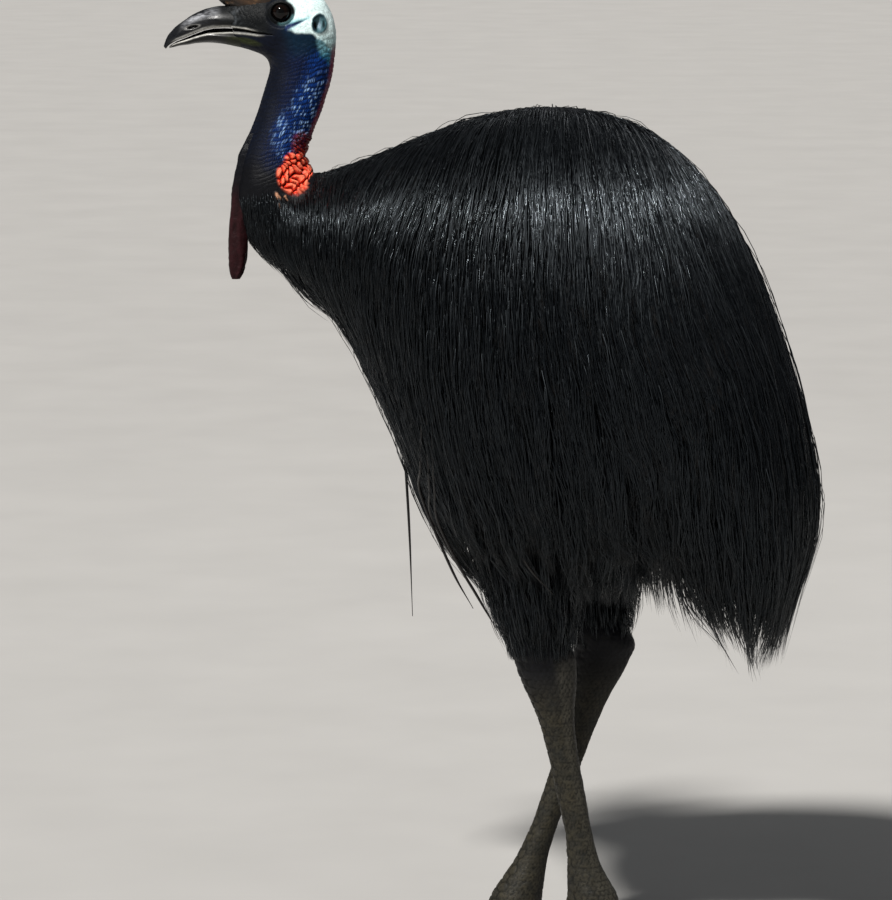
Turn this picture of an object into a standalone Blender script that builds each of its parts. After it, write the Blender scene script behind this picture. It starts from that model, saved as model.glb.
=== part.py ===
"""Adult southern cassowary in a walking pose, life size, as solids.

Metres, +Z up. The bird faces -X and its left side faces -Y. The solids reach to the outside
of the plumage. Positions are first given in a layout frame, with x = 0 under the highest part of
the back and the ground at z = GROUND. At the end everything moves so that the origin is the
middle of the bounding box on the ground.
"""
import math

import bmesh
import bpy
import numpy as np

GAP = 0.0003              # clearance between neighbouring solids
RING_POINTS = 24          # points round a section of the body

# Sections of the body from the bill base over the head, neck and trunk to the end of the rump
# plumes: outer (back) point x, z; inner (throat or belly) point x, z; half width; how far the
# widest line lies towards the inner point.
SECTIONS = {
    "bill_base": (-0.417, 1.180, -0.403, 1.127, 0.020, 0.00),
    "lores": (-0.394, 1.192, -0.388, 1.1225, 0.029, 0.08),
    "brow": (-0.362, 1.201, -0.377, 1.1185, 0.0345, 0.10),
    "crown": (-0.328, 1.203, -0.371, 1.115, 0.0375, 0.08),
    "hind_crown": (-0.299, 1.190, -0.3665, 1.1105, 0.038, 0.04),
    "hind_head": (-0.283, 1.160, -0.3645, 1.1045, 0.037, 0.02),
    "nape": (-0.281, 1.126, -0.3645, 1.096, 0.036, 0.00),
    "neck_top": (-0.286, 1.090, -0.3695, 1.079, 0.0355, 0.00),
    "neck_high": (-0.296, 1.056, -0.379, 1.047, 0.0355, 0.00),
    "neck_mid": (-0.308, 1.025, -0.392, 1.014, 0.0365, 0.00),
    "neck_low": (-0.318, 0.998, -0.403, 0.979, 0.039, 0.00),
    "caruncle": (-0.317, 0.981, -0.4075, 0.947, 0.044, 0.02),
    "neck_base": (-0.303, 0.973, -0.401, 0.912, 0.051, 0.04),
    "collar": (-0.280, 0.977, -0.388, 0.877, 0.063, 0.06),
    "shoulder": (-0.235, 0.992, -0.346, 0.838, 0.092, 0.08),
    "fore_back": (-0.170, 1.019, -0.281, 0.780, 0.135, 0.10),
    "breast": (-0.090, 1.046, -0.219, 0.665, 0.178, 0.12),
    "mid_back": (0.000, 1.056, -0.165, 0.530, 0.204, 0.13),
    "flank": (0.090, 1.036, -0.105, 0.452, 0.216, 0.13),
    "thigh": (0.170, 0.977, -0.025, 0.425, 0.218, 0.11),
    "rump": (0.230, 0.887, 0.040, 0.420, 0.213, 0.08),
    "plumes_high": (0.275, 0.777, 0.082, 0.423, 0.203, 0.05),
    "plumes_mid": (0.308, 0.667, 0.107, 0.430, 0.192, 0.02),
    "plumes_low": (0.325, 0.560, 0.126, 0.414, 0.178, 0.00),
    "hem": (0.305, 0.455, 0.160, 0.386, 0.154, 0.00),
    "hem_tip": (0.283, 0.362, 0.216, 0.350, 0.112, 0.00),
}
SECTION_NAMES = list(SECTIONS)

# Pieces of the body: first section, last section, rings.
BODY_PIECES = {
    "head": ("bill_base", "nape", 14),
    "neck_upper": ("nape", "neck_high", 6),
    "neck_middle": ("neck_high", "neck_low", 6),
    "neck_lower": ("neck_low", "neck_base", 6),
    "trunk": ("neck_base", "rump", 18),
    "tail": ("rump", "hem_tip", 10),
}
BELLY_SQUARENESS = 2.2    # how much fuller than an ellipse the belly side of a section is

EYE_CENTRE = (-0.348, 0.0255, 1.1715)
EYE_RADIUS = 0.0138
EAR_CENTRE = (-0.3015, 0.0345, 1.157)
EAR_SIZE = (0.0100, 0.0050, 0.0140)      # half sizes along, across and up
EAR_HOLE_SIZE = (0.0045, 0.0060, 0.0075)

# Casque sections by height: z, front x, rear x, half width.
CASQUE = (
    (1.166, -0.400, -0.318, 0.0225),
    (1.181, -0.424, -0.306, 0.0255),
    (1.195, -0.431, -0.301, 0.0265),
    (1.214, -0.422, -0.296, 0.0250),
    (1.240, -0.408, -0.293, 0.0205),
    (1.266, -0.393, -0.294, 0.0160),
    (1.289, -0.377, -0.299, 0.0125),
    (1.306, -0.362, -0.308, 0.0100),
    (1.316, -0.350, -0.318, 0.0070),
)
CASQUE_LEAN = 0.006       # sideways lean of the crest towards the left

# Bill sections by x: x, upper edge z, lower edge z, half width.
BILL_UPPER = (
    (-0.4952, 1.1305, 1.1262, 0.0012),
    (-0.4925, 1.1378, 1.1246, 0.0036),
    (-0.4885, 1.1440, 1.1290, 0.0060),
    (-0.4800, 1.1528, 1.1342, 0.0088),
    (-0.4700, 1.1602, 1.1376, 0.0110),
    (-0.4580, 1.1680, 1.1420, 0.0134),
    (-0.4450, 1.1738, 1.1460, 0.0158),
    (-0.4330, 1.1770, 1.1500, 0.0180),
    (-0.4200, 1.1785, 1.1507, 0.0198),
    (-0.4000, 1.1790, 1.1500, 0.0215),
)
BILL_LOWER = (
    (-0.4885, 1.1282, 1.1250, 0.0018),
    (-0.4840, 1.1313, 1.1262, 0.0048),
    (-0.4760, 1.1342, 1.1280, 0.0074),
    (-0.4660, 1.1374, 1.1292, 0.0096),
    (-0.4550, 1.1405, 1.1312, 0.0115),
    (-0.4400, 1.1444, 1.1320, 0.0142),
    (-0.4250, 1.1454, 1.1308, 0.0165),
    (-0.4100, 1.1456, 1.1285, 0.0182),
    (-0.3950, 1.1456, 1.1240, 0.0190),
)
BILL_POINTS = 12
UPPER_KEEL = 0.35         # how much the bill narrows towards its ridge
LOWER_KEEL = -0.20
GAPE_CORNER = (-0.367, 1.1430)            # x and z where the gape ends under the eye
GAPE_FRONT = (-0.425, 1.1486)             # x and z of the gape between the halves of the bill
GAPE_HEIGHT = 0.0044

# Wattle sections by height: z, centre x, half length, half thickness.
WATTLE = (
    (1.020, -0.384, 0.0060, 0.0050),
    (0.995, -0.393, 0.0090, 0.0080),
    (0.972, -0.396, 0.0115, 0.0085),
    (0.950, -0.399, 0.0125, 0.0075),
    (0.930, -0.400, 0.0128, 0.0066),
    (0.908, -0.4025, 0.0122, 0.0060),
    (0.885, -0.4045, 0.0118, 0.0060),
    (0.862, -0.4052, 0.0110, 0.0062),
    (0.847, -0.4060, 0.0088, 0.0054),
    (0.838, -0.4070, 0.0045, 0.0030),
)
WATTLE_POINTS = 10
WATTLE_SPREAD = (0.0120, 0.0150)         # distance from the midline at the top and at the tip

# Wing: centre section step and angle on the side of the trunk, half sizes, how deep it sits.
WING_STEP = 16.05
WING_ANGLE = math.radians(104)
WING_SIZE = (0.042, 0.024, 0.090)
WING_INSET = 0.013
WING_TURN = tuple(math.radians(turn) for turn in (6, -20, -16))
QUILL_RADIUS = 0.0019
QUILL_SEGMENTS = 6
# Quills: start and end of the run on the trunk's side as (section step, angle in degrees), then
# two points of the free part, its middle and its tip, as x, distance from the midline and z.
QUILLS_LEFT = (
    ((16.20, 114), (16.74, 160), (-0.1375, 0.115, 0.4875), (-0.1103, 0.120, 0.4380)),
    ((16.16, 113), (17.02, 160), (-0.1042, 0.112, 0.4505), (-0.0800, 0.118, 0.4095)),
    ((16.23, 112), (17.08, 156), (-0.1200, 0.124, 0.4790), (-0.1003, 0.128, 0.4467)),
    ((16.26, 111), (17.50, 125), (-0.0480, 0.183, 0.5050), (-0.0120, 0.182, 0.4620)),
    ((16.28, 109), (17.80, 117), (-0.0060, 0.200, 0.5330), (0.0300, 0.198, 0.4900)),
)
QUILLS_RIGHT = (
    ((16.14, 114), (16.02, 141), (-0.1922, 0.132, 0.5150), (-0.1872, 0.128, 0.3855)),
    ((16.17, 113), (16.80, 133), (-0.1050, 0.170, 0.5450), (-0.0750, 0.164, 0.4950)),
    ((16.23, 112), (17.10, 130), (-0.0800, 0.178, 0.5300), (-0.0500, 0.172, 0.4750)),
    ((16.26, 111), (17.50, 125), (-0.0480, 0.183, 0.5050), (-0.0120, 0.182, 0.4620)),
    ((16.28, 109), (17.80, 117), (-0.0060, 0.200, 0.5330), (0.0300, 0.198, 0.4900)),
)

# Legs. The left leg trails and its foot is rolling off, the right leg leads and is flat.
# Drumstick sections: z above the hock, x behind the hock, half length, half width, y beyond it.
DRUMSTICK = (
    (0.260, -0.024, 0.062, 0.046, 0.012),
    (0.200, -0.024, 0.074, 0.054, 0.012),
    (0.150, -0.020, 0.072, 0.060, 0.012),
    (0.104, -0.017, 0.065, 0.058, 0.010),
    (0.066, -0.0133, 0.057, 0.052, 0.007),
    (0.032, -0.010, 0.045, 0.042, 0.003),
)
# Shank sections: share of the way from the hock to the toe joint, half length, half width.
SHANK = (
    (-0.10, 0.0400, 0.0380),
    (0.00, 0.0365, 0.0320),
    (0.08, 0.0325, 0.0285),
    (0.16, 0.0265, 0.0245),
    (0.26, 0.0215, 0.0205),
    (0.38, 0.0190, 0.0182),
    (0.55, 0.0184, 0.0172),
    (0.70, 0.0168, 0.0168),
    (0.76, 0.0170, 0.0170),
)
# Hock and toe joint of each leg: x, distance from the midline, z.
LEGS = {
    "left": {"side": -1, "hock": (-0.018, 0.070, 0.354), "joint": (0.041, 0.070, 0.058)},
    "right": {"side": 1, "hock": (0.056, 0.070, 0.345), "joint": (-0.0525, 0.070, 0.032)},
}
SHANK_BOW = {"left": 0.001, "right": -0.005}      # how far each shank bows forwards
GROUND = -0.012           # z of the ground in the layout frame
# Foot sections up to the joint: share of the joint's height over the ground, x ahead per joint
# height, half length, half width; and above it: height over the joint, half length, half width.
FOOT_SOLE = ((0.00, 0.30, 0.0270, 0.0250), (0.25, 0.22, 0.0335, 0.0305), (0.60, 0.08, 0.0350, 0.0320),
             (1.00, 0.00, 0.0330, 0.0300))
FOOT_ANKLE = ((0.026, 0.0260, 0.0240), (0.052, 0.0200, 0.0192))
ANKLE_SLOPE = {"left": -0.24, "right": 0.40}      # x gained per metre of height above the joint
# Toes: base ahead of the joint, base offset outwards, heading outwards in degrees, length,
# width at the base and at the claw, height likewise, phalanges, claw length.
TOES = {
    "inner": (0.016, -0.019, -16, 0.088, 0.031, 0.024, 0.029, 0.022, 2, 0.108),
    "middle": (0.024, 0.001, 4, 0.142, 0.034, 0.024, 0.030, 0.020, 3, 0.038),
    "outer": (0.014, 0.020, 22, 0.104, 0.030, 0.021, 0.027, 0.019, 3, 0.032),
}
TOE_POINTS = 9
TOE_MIDDLE = 0.46         # height of the widest line as a share of the toe's height
SOLE_EDGE = 0.30          # sine of the angle below which a section point lies on the sole
SOLE_WIDTH = 0.92
CLAW_POINTS = 6
CLAW_STEPS = 5
CLAW_WIDTH = 0.68         # claw width at its root as a share of the toe's width there
CLAW_TIP = 0.0008
CLAW_CLEARANCE = 0.0012   # height of a claw's lowest line over the ground

COLOURS = {
    "plumage": ((0.006, 0.006, 0.008), 0.40, 0.0),
    "blue_skin": ((0.020, 0.070, 0.320), 0.55, 0.0),
    "face_skin": ((0.060, 0.300, 0.360), 0.55, 0.0),
    "red_skin": ((0.620, 0.070, 0.030), 0.45, 0.0),
    "wattle_skin": ((0.170, 0.040, 0.040), 0.60, 0.0),
    "casque_horn": ((0.160, 0.100, 0.060), 0.50, 0.0),
    "bill_horn": ((0.020, 0.022, 0.026), 0.30, 0.0),
    "eye": ((0.030, 0.012, 0.008), 0.05, 0.0),
    "leg_scales": ((0.090, 0.085, 0.070), 0.60, 0.0),
    "claw_horn": ((0.060, 0.055, 0.050), 0.35, 0.0),
}


def clear_scene():
    for obj in list(bpy.data.objects):
        bpy.data.objects.remove(obj, do_unlink=True)


def new_collection(name):
    collection = bpy.data.collections.new(name)
    bpy.context.scene.collection.children.link(collection)
    return collection


def new_material(name):
    colour, roughness, metallic = COLOURS[name]
    material = bpy.data.materials.new(name)
    material.use_nodes = True
    shader = material.node_tree.nodes["Principled BSDF"]
    shader.inputs["Base Color"].default_value = (*colour, 1.0)
    shader.inputs["Roughness"].default_value = roughness
    shader.inputs["Metallic"].default_value = metallic
    return material


def smooth_value(keys, where):
    """Value at a place along keys that are one step apart, on a smooth curve through them."""
    keys = np.asarray(keys, dtype=float)
    start = min(int(math.floor(where)), len(keys) - 2)
    share = where - start
    before = keys[start - 1] if start > 0 else 2 * keys[0] - keys[1]
    after = keys[start + 2] if start + 2 < len(keys) else 2 * keys[-1] - keys[-2]
    first, second = keys[start], keys[start + 1]
    slope_first, slope_second = (second - before) / 2, (after - first) / 2
    square, cube = share ** 2, share ** 3
    return (first * (2 * cube - 3 * square + 1) + second * (3 * square - 2 * cube)
            + slope_first * (cube - 2 * square + share) + slope_second * (cube - square))


def body_point(step, angle, lift=0.0):
    """Point on the body at a section step; the angle runs from the back round the +Y side."""
    outer_x, outer_z, inner_x, inner_z, half_width, belly = smooth_value(
        [SECTIONS[name] for name in SECTION_NAMES], step)
    half_depth = math.hypot(outer_x - inner_x, outer_z - inner_z) / 2
    along_x = (outer_x - inner_x) / (2 * half_depth)
    along_z = (outer_z - inner_z) / (2 * half_depth)
    rise, side = math.cos(angle), math.sin(angle)
    square_off = BELLY_SQUARENESS * belly * max(0.0, -rise)
    depth = (half_depth + lift) * rise
    width = (half_width + lift) * math.copysign(abs(side) ** (1 - square_off), side) * (1 - belly * rise)
    return np.array(((outer_x + inner_x) / 2 + along_x * depth, width,
                     (outer_z + inner_z) / 2 + along_z * depth))


def body_ring(step, lift=0.0):
    turns = [2 * math.pi * i / RING_POINTS for i in range(RING_POINTS)]
    return [body_point(step, angle, lift) for angle in turns]


def piece_steps(first, last, count):
    """Section steps of one piece of the body, from a small gap after its first section."""
    start = SECTION_NAMES.index(first)
    stop = SECTION_NAMES.index(last)
    reach = [np.linalg.norm(body_point(start + 1, angle) - body_point(start, angle))
             for angle in (0.0, math.pi)]
    start += 1.3 * GAP / min(reach)
    return [start + (stop - start) * i / (count - 1) for i in range(count)]


def loft(name, rings, collection, material=None):
    """Closed solid through rings of equal numbers of points, with flat ends."""
    mesh = bpy.data.meshes.new(name)
    build = bmesh.new()
    loops = [[build.verts.new(point) for point in ring] for ring in rings]
    for lower, upper in zip(loops, loops[1:]):
        for i in range(len(lower)):
            j = (i + 1) % len(lower)
            build.faces.new((lower[i], lower[j], upper[j]))
            build.faces.new((lower[i], upper[j], upper[i]))
    build.faces.new(loops[0][::-1])
    build.faces.new(loops[-1])
    bmesh.ops.recalc_face_normals(build, faces=build.faces)
    build.to_mesh(mesh)
    build.free()
    mesh.shade_smooth()
    mesh.set_sharp_from_angle(angle=math.radians(50))
    if material is not None:
        mesh.materials.append(material)
    obj = bpy.data.objects.new(name, mesh)
    collection.objects.link(obj)
    return obj


def ball(name, centre, half_sizes, collection, material=None, turn=None, rings=8, segments=12):
    """Ellipsoid from a UV sphere; turn is an optional rotation about X, Y and Z."""
    mesh = bpy.data.meshes.new(name)
    build = bmesh.new()
    bmesh.ops.create_uvsphere(build, u_segments=segments, v_segments=rings, radius=1.0)
    bmesh.ops.scale(build, vec=half_sizes, verts=build.verts)
    build.to_mesh(mesh)
    build.free()
    mesh.shade_smooth()
    if material is not None:
        mesh.materials.append(material)
    obj = bpy.data.objects.new(name, mesh)
    obj.location = centre
    if turn is not None:
        obj.rotation_euler = turn
    collection.objects.link(obj)
    return obj


def as_cutter(obj):
    obj.hide_render = True
    obj.display_type = "WIRE"
    return obj


def combine(obj, other, operation="DIFFERENCE"):
    modifier = obj.modifiers.new(operation.title(), "BOOLEAN")
    modifier.operation = operation
    modifier.object = other
    modifier.solver = "EXACT"


def flat_ring(centre, half_x, half_y, count):
    """Level ring, an ellipse about a centre."""
    turns = [2 * math.pi * i / count for i in range(count)]
    return [(centre[0] + half_x * math.cos(turn), centre[1] + half_y * math.sin(turn), centre[2])
            for turn in turns]


def upright_ring(x, top, bottom, half_width, count, keel=0.0):
    """Upright ring across the bill; keel draws the upper part in towards a ridge."""
    middle, half_height = (top + bottom) / 2, (top - bottom) / 2
    ring = []
    for i in range(count):
        turn = 2 * math.pi * i / count
        rise = math.cos(turn)
        ring.append((x, half_width * math.sin(turn) * (1 - keel * rise), middle + half_height * rise))
    return ring


def make_body(parts, materials):
    finishes = {"head": "face_skin", "neck_upper": "blue_skin", "neck_middle": "blue_skin",
                "neck_lower": "red_skin", "trunk": "plumage", "tail": "plumage"}
    return {name: loft(name, [body_ring(step) for step in piece_steps(*span)], parts,
                       materials[finishes[name]])
            for name, span in BODY_PIECES.items()}


def make_body_cutter(cutters):
    """The whole body in one, swollen by a gap, for cutting what grows on it."""
    steps = [0.0]
    for span in BODY_PIECES.values():
        steps += piece_steps(*span)
    return as_cutter(loft("body_cutter", [body_ring(step, 2 * GAP) for step in steps], cutters))


def make_casque(parts, cutters, material, body_cutter):
    rings = []
    base, top = CASQUE[0][0], CASQUE[-1][0]
    for z, front, rear, half_width in CASQUE:
        lean = -CASQUE_LEAN * (z - base) / (top - base)
        rings.append(flat_ring(((front + rear) / 2, lean, z), (rear - front) / 2, half_width, 16))
    casque = loft("casque", rings, parts, material)
    combine(casque, body_cutter)
    bill_rings = [upright_ring(x, top + GAP, bottom - GAP, half_width + GAP, BILL_POINTS,
                               keel=UPPER_KEEL)
                  for x, top, bottom, half_width in BILL_UPPER]
    combine(casque, as_cutter(loft("bill_cutter", bill_rings, cutters)))


def make_bill(parts, material, head, body_cutter, cutters):
    upper = loft("bill_upper", [upright_ring(*row, BILL_POINTS, keel=UPPER_KEEL) for row in BILL_UPPER],
                 parts, material)
    lower = loft("bill_lower", [upright_ring(*row, BILL_POINTS, keel=LOWER_KEEL) for row in BILL_LOWER],
                 parts, material)
    combine(upper, body_cutter)
    combine(lower, body_cutter)
    corner_x, corner_z = GAPE_CORNER
    depth = 0.05
    front_x, front_z = GAPE_FRONT
    wedge = [upright_ring(corner_x, corner_z + 0.0004, corner_z - 0.0004, depth, 4),
             upright_ring(front_x, front_z + GAPE_HEIGHT / 2, front_z - GAPE_HEIGHT / 2, depth, 4)]
    combine(head, as_cutter(loft("gape_cutter", wedge, cutters)))


def make_head_details(parts, cutters, materials, head):
    for side, sign in (("left", -1), ("right", 1)):
        eye_centre = (EYE_CENTRE[0], sign * EYE_CENTRE[1], EYE_CENTRE[2])
        ball(f"eye_{side}", eye_centre, (EYE_RADIUS,) * 3, parts, materials["eye"])
        socket = ball(f"eye_socket_{side}", eye_centre, (EYE_RADIUS + GAP,) * 3, cutters)
        combine(head, as_cutter(socket))
        ear_centre = (EAR_CENTRE[0], sign * EAR_CENTRE[1], EAR_CENTRE[2])
        ear = ball(f"ear_{side}", ear_centre, EAR_SIZE, parts, materials["face_skin"],
                   rings=7, segments=12)
        pocket = ball(f"ear_pocket_{side}", ear_centre, [half + GAP for half in EAR_SIZE], cutters,
                      rings=7, segments=12)
        combine(head, as_cutter(pocket))
        mouth = (ear_centre[0], ear_centre[1] + sign * EAR_SIZE[1], ear_centre[2])
        hole = ball(f"ear_hole_{side}", mouth, EAR_HOLE_SIZE, cutters, rings=5, segments=8)
        combine(ear, as_cutter(hole))


def make_wattles(parts, material, body_cutter):
    top, tip = WATTLE[0][0], WATTLE[-1][0]
    for side, sign in (("left", -1), ("right", 1)):
        rings = []
        for z, x, half_length, half_thickness in WATTLE:
            share = (top - z) / (top - tip)
            away = WATTLE_SPREAD[0] + share * (WATTLE_SPREAD[1] - WATTLE_SPREAD[0])
            rings.append(flat_ring((x, sign * away, z), half_length, half_thickness,
                                   WATTLE_POINTS))
        wattle = loft(f"wattle_{side}", rings, parts, material)
        combine(wattle, body_cutter)


def quill_route(run_start, run_end, middle, tip, sign):
    """Points of a quill: along the side of the trunk, then free to its tip."""
    clear = QUILL_RADIUS + 0.0012
    points = []
    for i in range(5):
        share = i / 4
        step = run_start[0] + share * (run_end[0] - run_start[0])
        angle = math.radians(run_start[1] + share * (run_end[1] - run_start[1]))
        point = body_point(step, angle, clear)
        points.append((point[0], sign * point[1], point[2]))
    for free in (middle, tip):
        points.append((free[0], sign * free[1], free[2]))
    return points


def make_quill(name, points, collection):
    """Tapered quill as a five-sided tube along a smooth curve through its points."""
    curve = [smooth_value(points, (len(points) - 1) * i / QUILL_SEGMENTS)
             for i in range(QUILL_SEGMENTS + 1)]
    rings = []
    for i, point in enumerate(curve):
        ahead = curve[min(i + 1, QUILL_SEGMENTS)] - curve[max(i - 1, 0)]
        ahead /= np.linalg.norm(ahead)
        across = np.cross(ahead, (1.0, 0.0, 0.0))
        across /= np.linalg.norm(across)
        third = np.cross(ahead, across)
        radius = QUILL_RADIUS * (1 - 0.65 * (i / QUILL_SEGMENTS) ** 2)
        rings.append([point + radius * (math.cos(turn) * across + math.sin(turn) * third)
                      for turn in (2 * math.pi * k / 5 for k in range(5))])
    return loft(name, rings, collection)


def make_wings(parts, cutters, material, body_cutter):
    for side, sign, quills in (("left", -1, QUILLS_LEFT), ("right", 1, QUILLS_RIGHT)):
        place = body_point(WING_STEP, WING_ANGLE, -WING_INSET)
        tip, lean, yaw = WING_TURN
        wing = ball(f"wing_{side}", (place[0], sign * place[1], place[2]), WING_SIZE, parts, material,
                    turn=(sign * tip, lean, sign * yaw))
        for number, route in enumerate(quills, 1):
            points = quill_route(*route, sign)
            quill = make_quill(f"quill_{side}_{number}", points, cutters)
            combine(wing, as_cutter(quill), "UNION")
        combine(wing, body_cutter)


def make_leg(side, leg, parts, cutters, materials, body_cutter):
    sign = leg["side"]
    hock, joint = leg["hock"], leg["joint"]
    rings = []
    for rise, behind, half_length, half_width, beyond in DRUMSTICK:
        centre = (hock[0] + behind, sign * (hock[1] + beyond), hock[2] + rise)
        rings.append(flat_ring(centre, half_length, half_width, 18))
    drumstick = loft(f"leg_{side}_drumstick", rings, parts, materials["plumage"])
    combine(drumstick, body_cutter)

    def shank_centre(share):
        bow = SHANK_BOW[side] * math.sin(math.pi * min(max(share, 0.0), 1.0))
        return [hock[0] + share * (joint[0] - hock[0]) - bow, sign * hock[1],
                hock[2] + share * (joint[2] - hock[2])]

    top = hock[2] + DRUMSTICK[-1][0] - GAP
    foot_top = joint[2] + FOOT_ANKLE[-1][0]
    top_share = (hock[2] - top) / (hock[2] - joint[2])
    foot_share = (hock[2] - foot_top - GAP) / (hock[2] - joint[2])
    rows = [(top_share, *SHANK[0][1:])] + [row for row in SHANK[1:] if row[0] < foot_share - 0.03]
    rings = [flat_ring(shank_centre(share), half_length, half_width, 14)
             for share, half_length, half_width in rows]
    ankle_x = joint[0] + ANKLE_SLOPE[side] * FOOT_ANKLE[-1][0]
    rings.append(flat_ring((ankle_x, sign * joint[1], foot_top + GAP), *FOOT_ANKLE[-1][1:], 14))
    loft(f"leg_{side}_shank", rings, parts, materials["leg_scales"])

    def foot_rings(lift):
        rings = []
        rise_over_ground = joint[2] - GROUND
        for share, ahead, half_length, half_width in FOOT_SOLE:
            centre = (joint[0] - ahead * rise_over_ground, sign * joint[1],
                      GROUND + share * rise_over_ground)
            rings.append(flat_ring(centre, half_length + lift, half_width + lift, 16))
        for rise, half_length, half_width in FOOT_ANKLE:
            centre = (joint[0] + ANKLE_SLOPE[side] * rise, sign * joint[1], joint[2] + rise)
            rings.append(flat_ring(centre, half_length + lift, half_width + lift, 16))
        return rings

    loft(f"foot_{side}", foot_rings(0.0), parts, materials["leg_scales"])
    foot_cutter = as_cutter(loft(f"foot_cutter_{side}", foot_rings(GAP), cutters))
    middle_cutter = as_cutter(loft(f"toe_cutter_{side}", toe_rings("middle", leg, GAP), cutters))
    for toe in TOES:
        piece = loft(f"toe_{side}_{toe}", toe_rings(toe, leg), parts, materials["leg_scales"])
        combine(piece, foot_cutter)
        if toe != "middle":
            combine(piece, middle_cutter)
        loft(f"claw_{side}_{toe}", claw_rings(toe, leg), parts, materials["claw_horn"])


def toe_line(toe, leg):
    """Base point of a toe on the ground, its direction and the direction across it."""
    ahead, outwards, heading = TOES[toe][:3]
    turn = math.radians(heading)
    base = np.array((leg["joint"][0] - ahead, leg["side"] * (leg["joint"][1] + outwards)))
    along = np.array((-math.cos(turn), leg["side"] * math.sin(turn)))
    return base, along, np.array((-along[1], along[0]))


def toe_rings(toe, leg, lift=0.0):
    """Sections of a toe with its joints swelling, standing on a flat sole."""
    length, wide, narrow, tall, low, phalanges = TOES[toe][3:9]
    base, along, across = toe_line(toe, leg)
    rings = []
    count = 3 * phalanges + 1
    for i in range(count):
        share = i / (count - 1)
        swell = math.cos(2 * math.pi * phalanges * share)
        half_width = (wide + share * (narrow - wide)) / 2 * (1 + 0.07 * swell) + lift
        height = (tall + share * (low - tall)) * (1 + 0.04 * swell)
        centre = base + along * length * share
        middle = height * TOE_MIDDLE
        ring = []
        for k in range(TOE_POINTS):
            turn = 2 * math.pi * (k + 0.5) / TOE_POINTS
            side = half_width * math.cos(turn)
            z = middle + (height + lift - middle) * math.sin(turn)
            if math.sin(turn) < -SOLE_EDGE:
                z = -lift
                side *= SOLE_WIDTH
            ring.append((*(centre + across * side), GROUND + z))
        rings.append(ring)
    return rings


def claw_rings(toe, leg):
    """Sections of a claw that droops towards the ground ahead of its toe."""
    length, _, narrow, _, low, _, claw_length = TOES[toe][3:]
    base, along, across = toe_line(toe, leg)
    rings = []
    for i in range(CLAW_STEPS + 1):
        share = i / CLAW_STEPS
        centre = base + along * (length + GAP + claw_length * share)
        height = low / 2 * (1 - 0.55 * share - 0.25 * share ** 2) + CLAW_CLEARANCE
        half_width = CLAW_WIDTH * narrow / 2 * (1 - share) ** 0.75 + CLAW_TIP
        half_height = min(1.2 * half_width, height - CLAW_CLEARANCE)
        ring = []
        for k in range(CLAW_POINTS):
            turn = 2 * math.pi * k / CLAW_POINTS
            ring.append((*(centre + across * half_width * math.cos(turn)),
                         GROUND + height + half_height * math.sin(turn)))
        rings.append(ring)
    return rings


def centre_on_ground(parts, cutters):
    """Moves everything so that the origin is the middle of the bounding box, on the ground."""
    bpy.context.view_layer.update()
    graph = bpy.context.evaluated_depsgraph_get()
    corners = []
    for obj in parts.objects:
        shape = obj.evaluated_get(graph)
        corners += [shape.matrix_world @ vertex.co for vertex in shape.data.vertices]
    low = [min(corner[axis] for corner in corners) for axis in range(3)]
    high = [max(corner[axis] for corner in corners) for axis in range(3)]
    for obj in list(parts.objects) + list(cutters.objects):
        obj.location.x -= (low[0] + high[0]) / 2
        obj.location.y -= (low[1] + high[1]) / 2
        obj.location.z -= low[2]
    bpy.context.view_layer.update()


def main():
    clear_scene()
    parts = new_collection("cassowary")
    cutters = new_collection("cutters")
    materials = {name: new_material(name) for name in COLOURS}
    body = make_body(parts, materials)
    body_cutter = make_body_cutter(cutters)
    make_casque(parts, cutters, materials["casque_horn"], body_cutter)
    make_bill(parts, materials["bill_horn"], body["head"], body_cutter, cutters)
    make_head_details(parts, cutters, materials, body["head"])
    make_wattles(parts, materials["wattle_skin"], body_cutter)
    make_wings(parts, cutters, materials["plumage"], body_cutter)
    for side, leg in LEGS.items():
        make_leg(side, leg, parts, cutters, materials, body_cutter)
    centre_on_ground(parts, cutters)


main()
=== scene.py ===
"""Looks of an adult southern cassowary, life size, in a walking pose.

Shapes are worked out in a layout frame in metres, with x = 0 under the highest part of the back,
the ground at z = GROUND, the bird facing -X and its left side facing -Y. They are moved into the
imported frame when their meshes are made.
"""
import itertools
import math

import bmesh
import bpy
import numpy as np
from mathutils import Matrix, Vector
from mathutils.bvhtree import BVHTree
from mathutils.kdtree import KDTree


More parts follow.
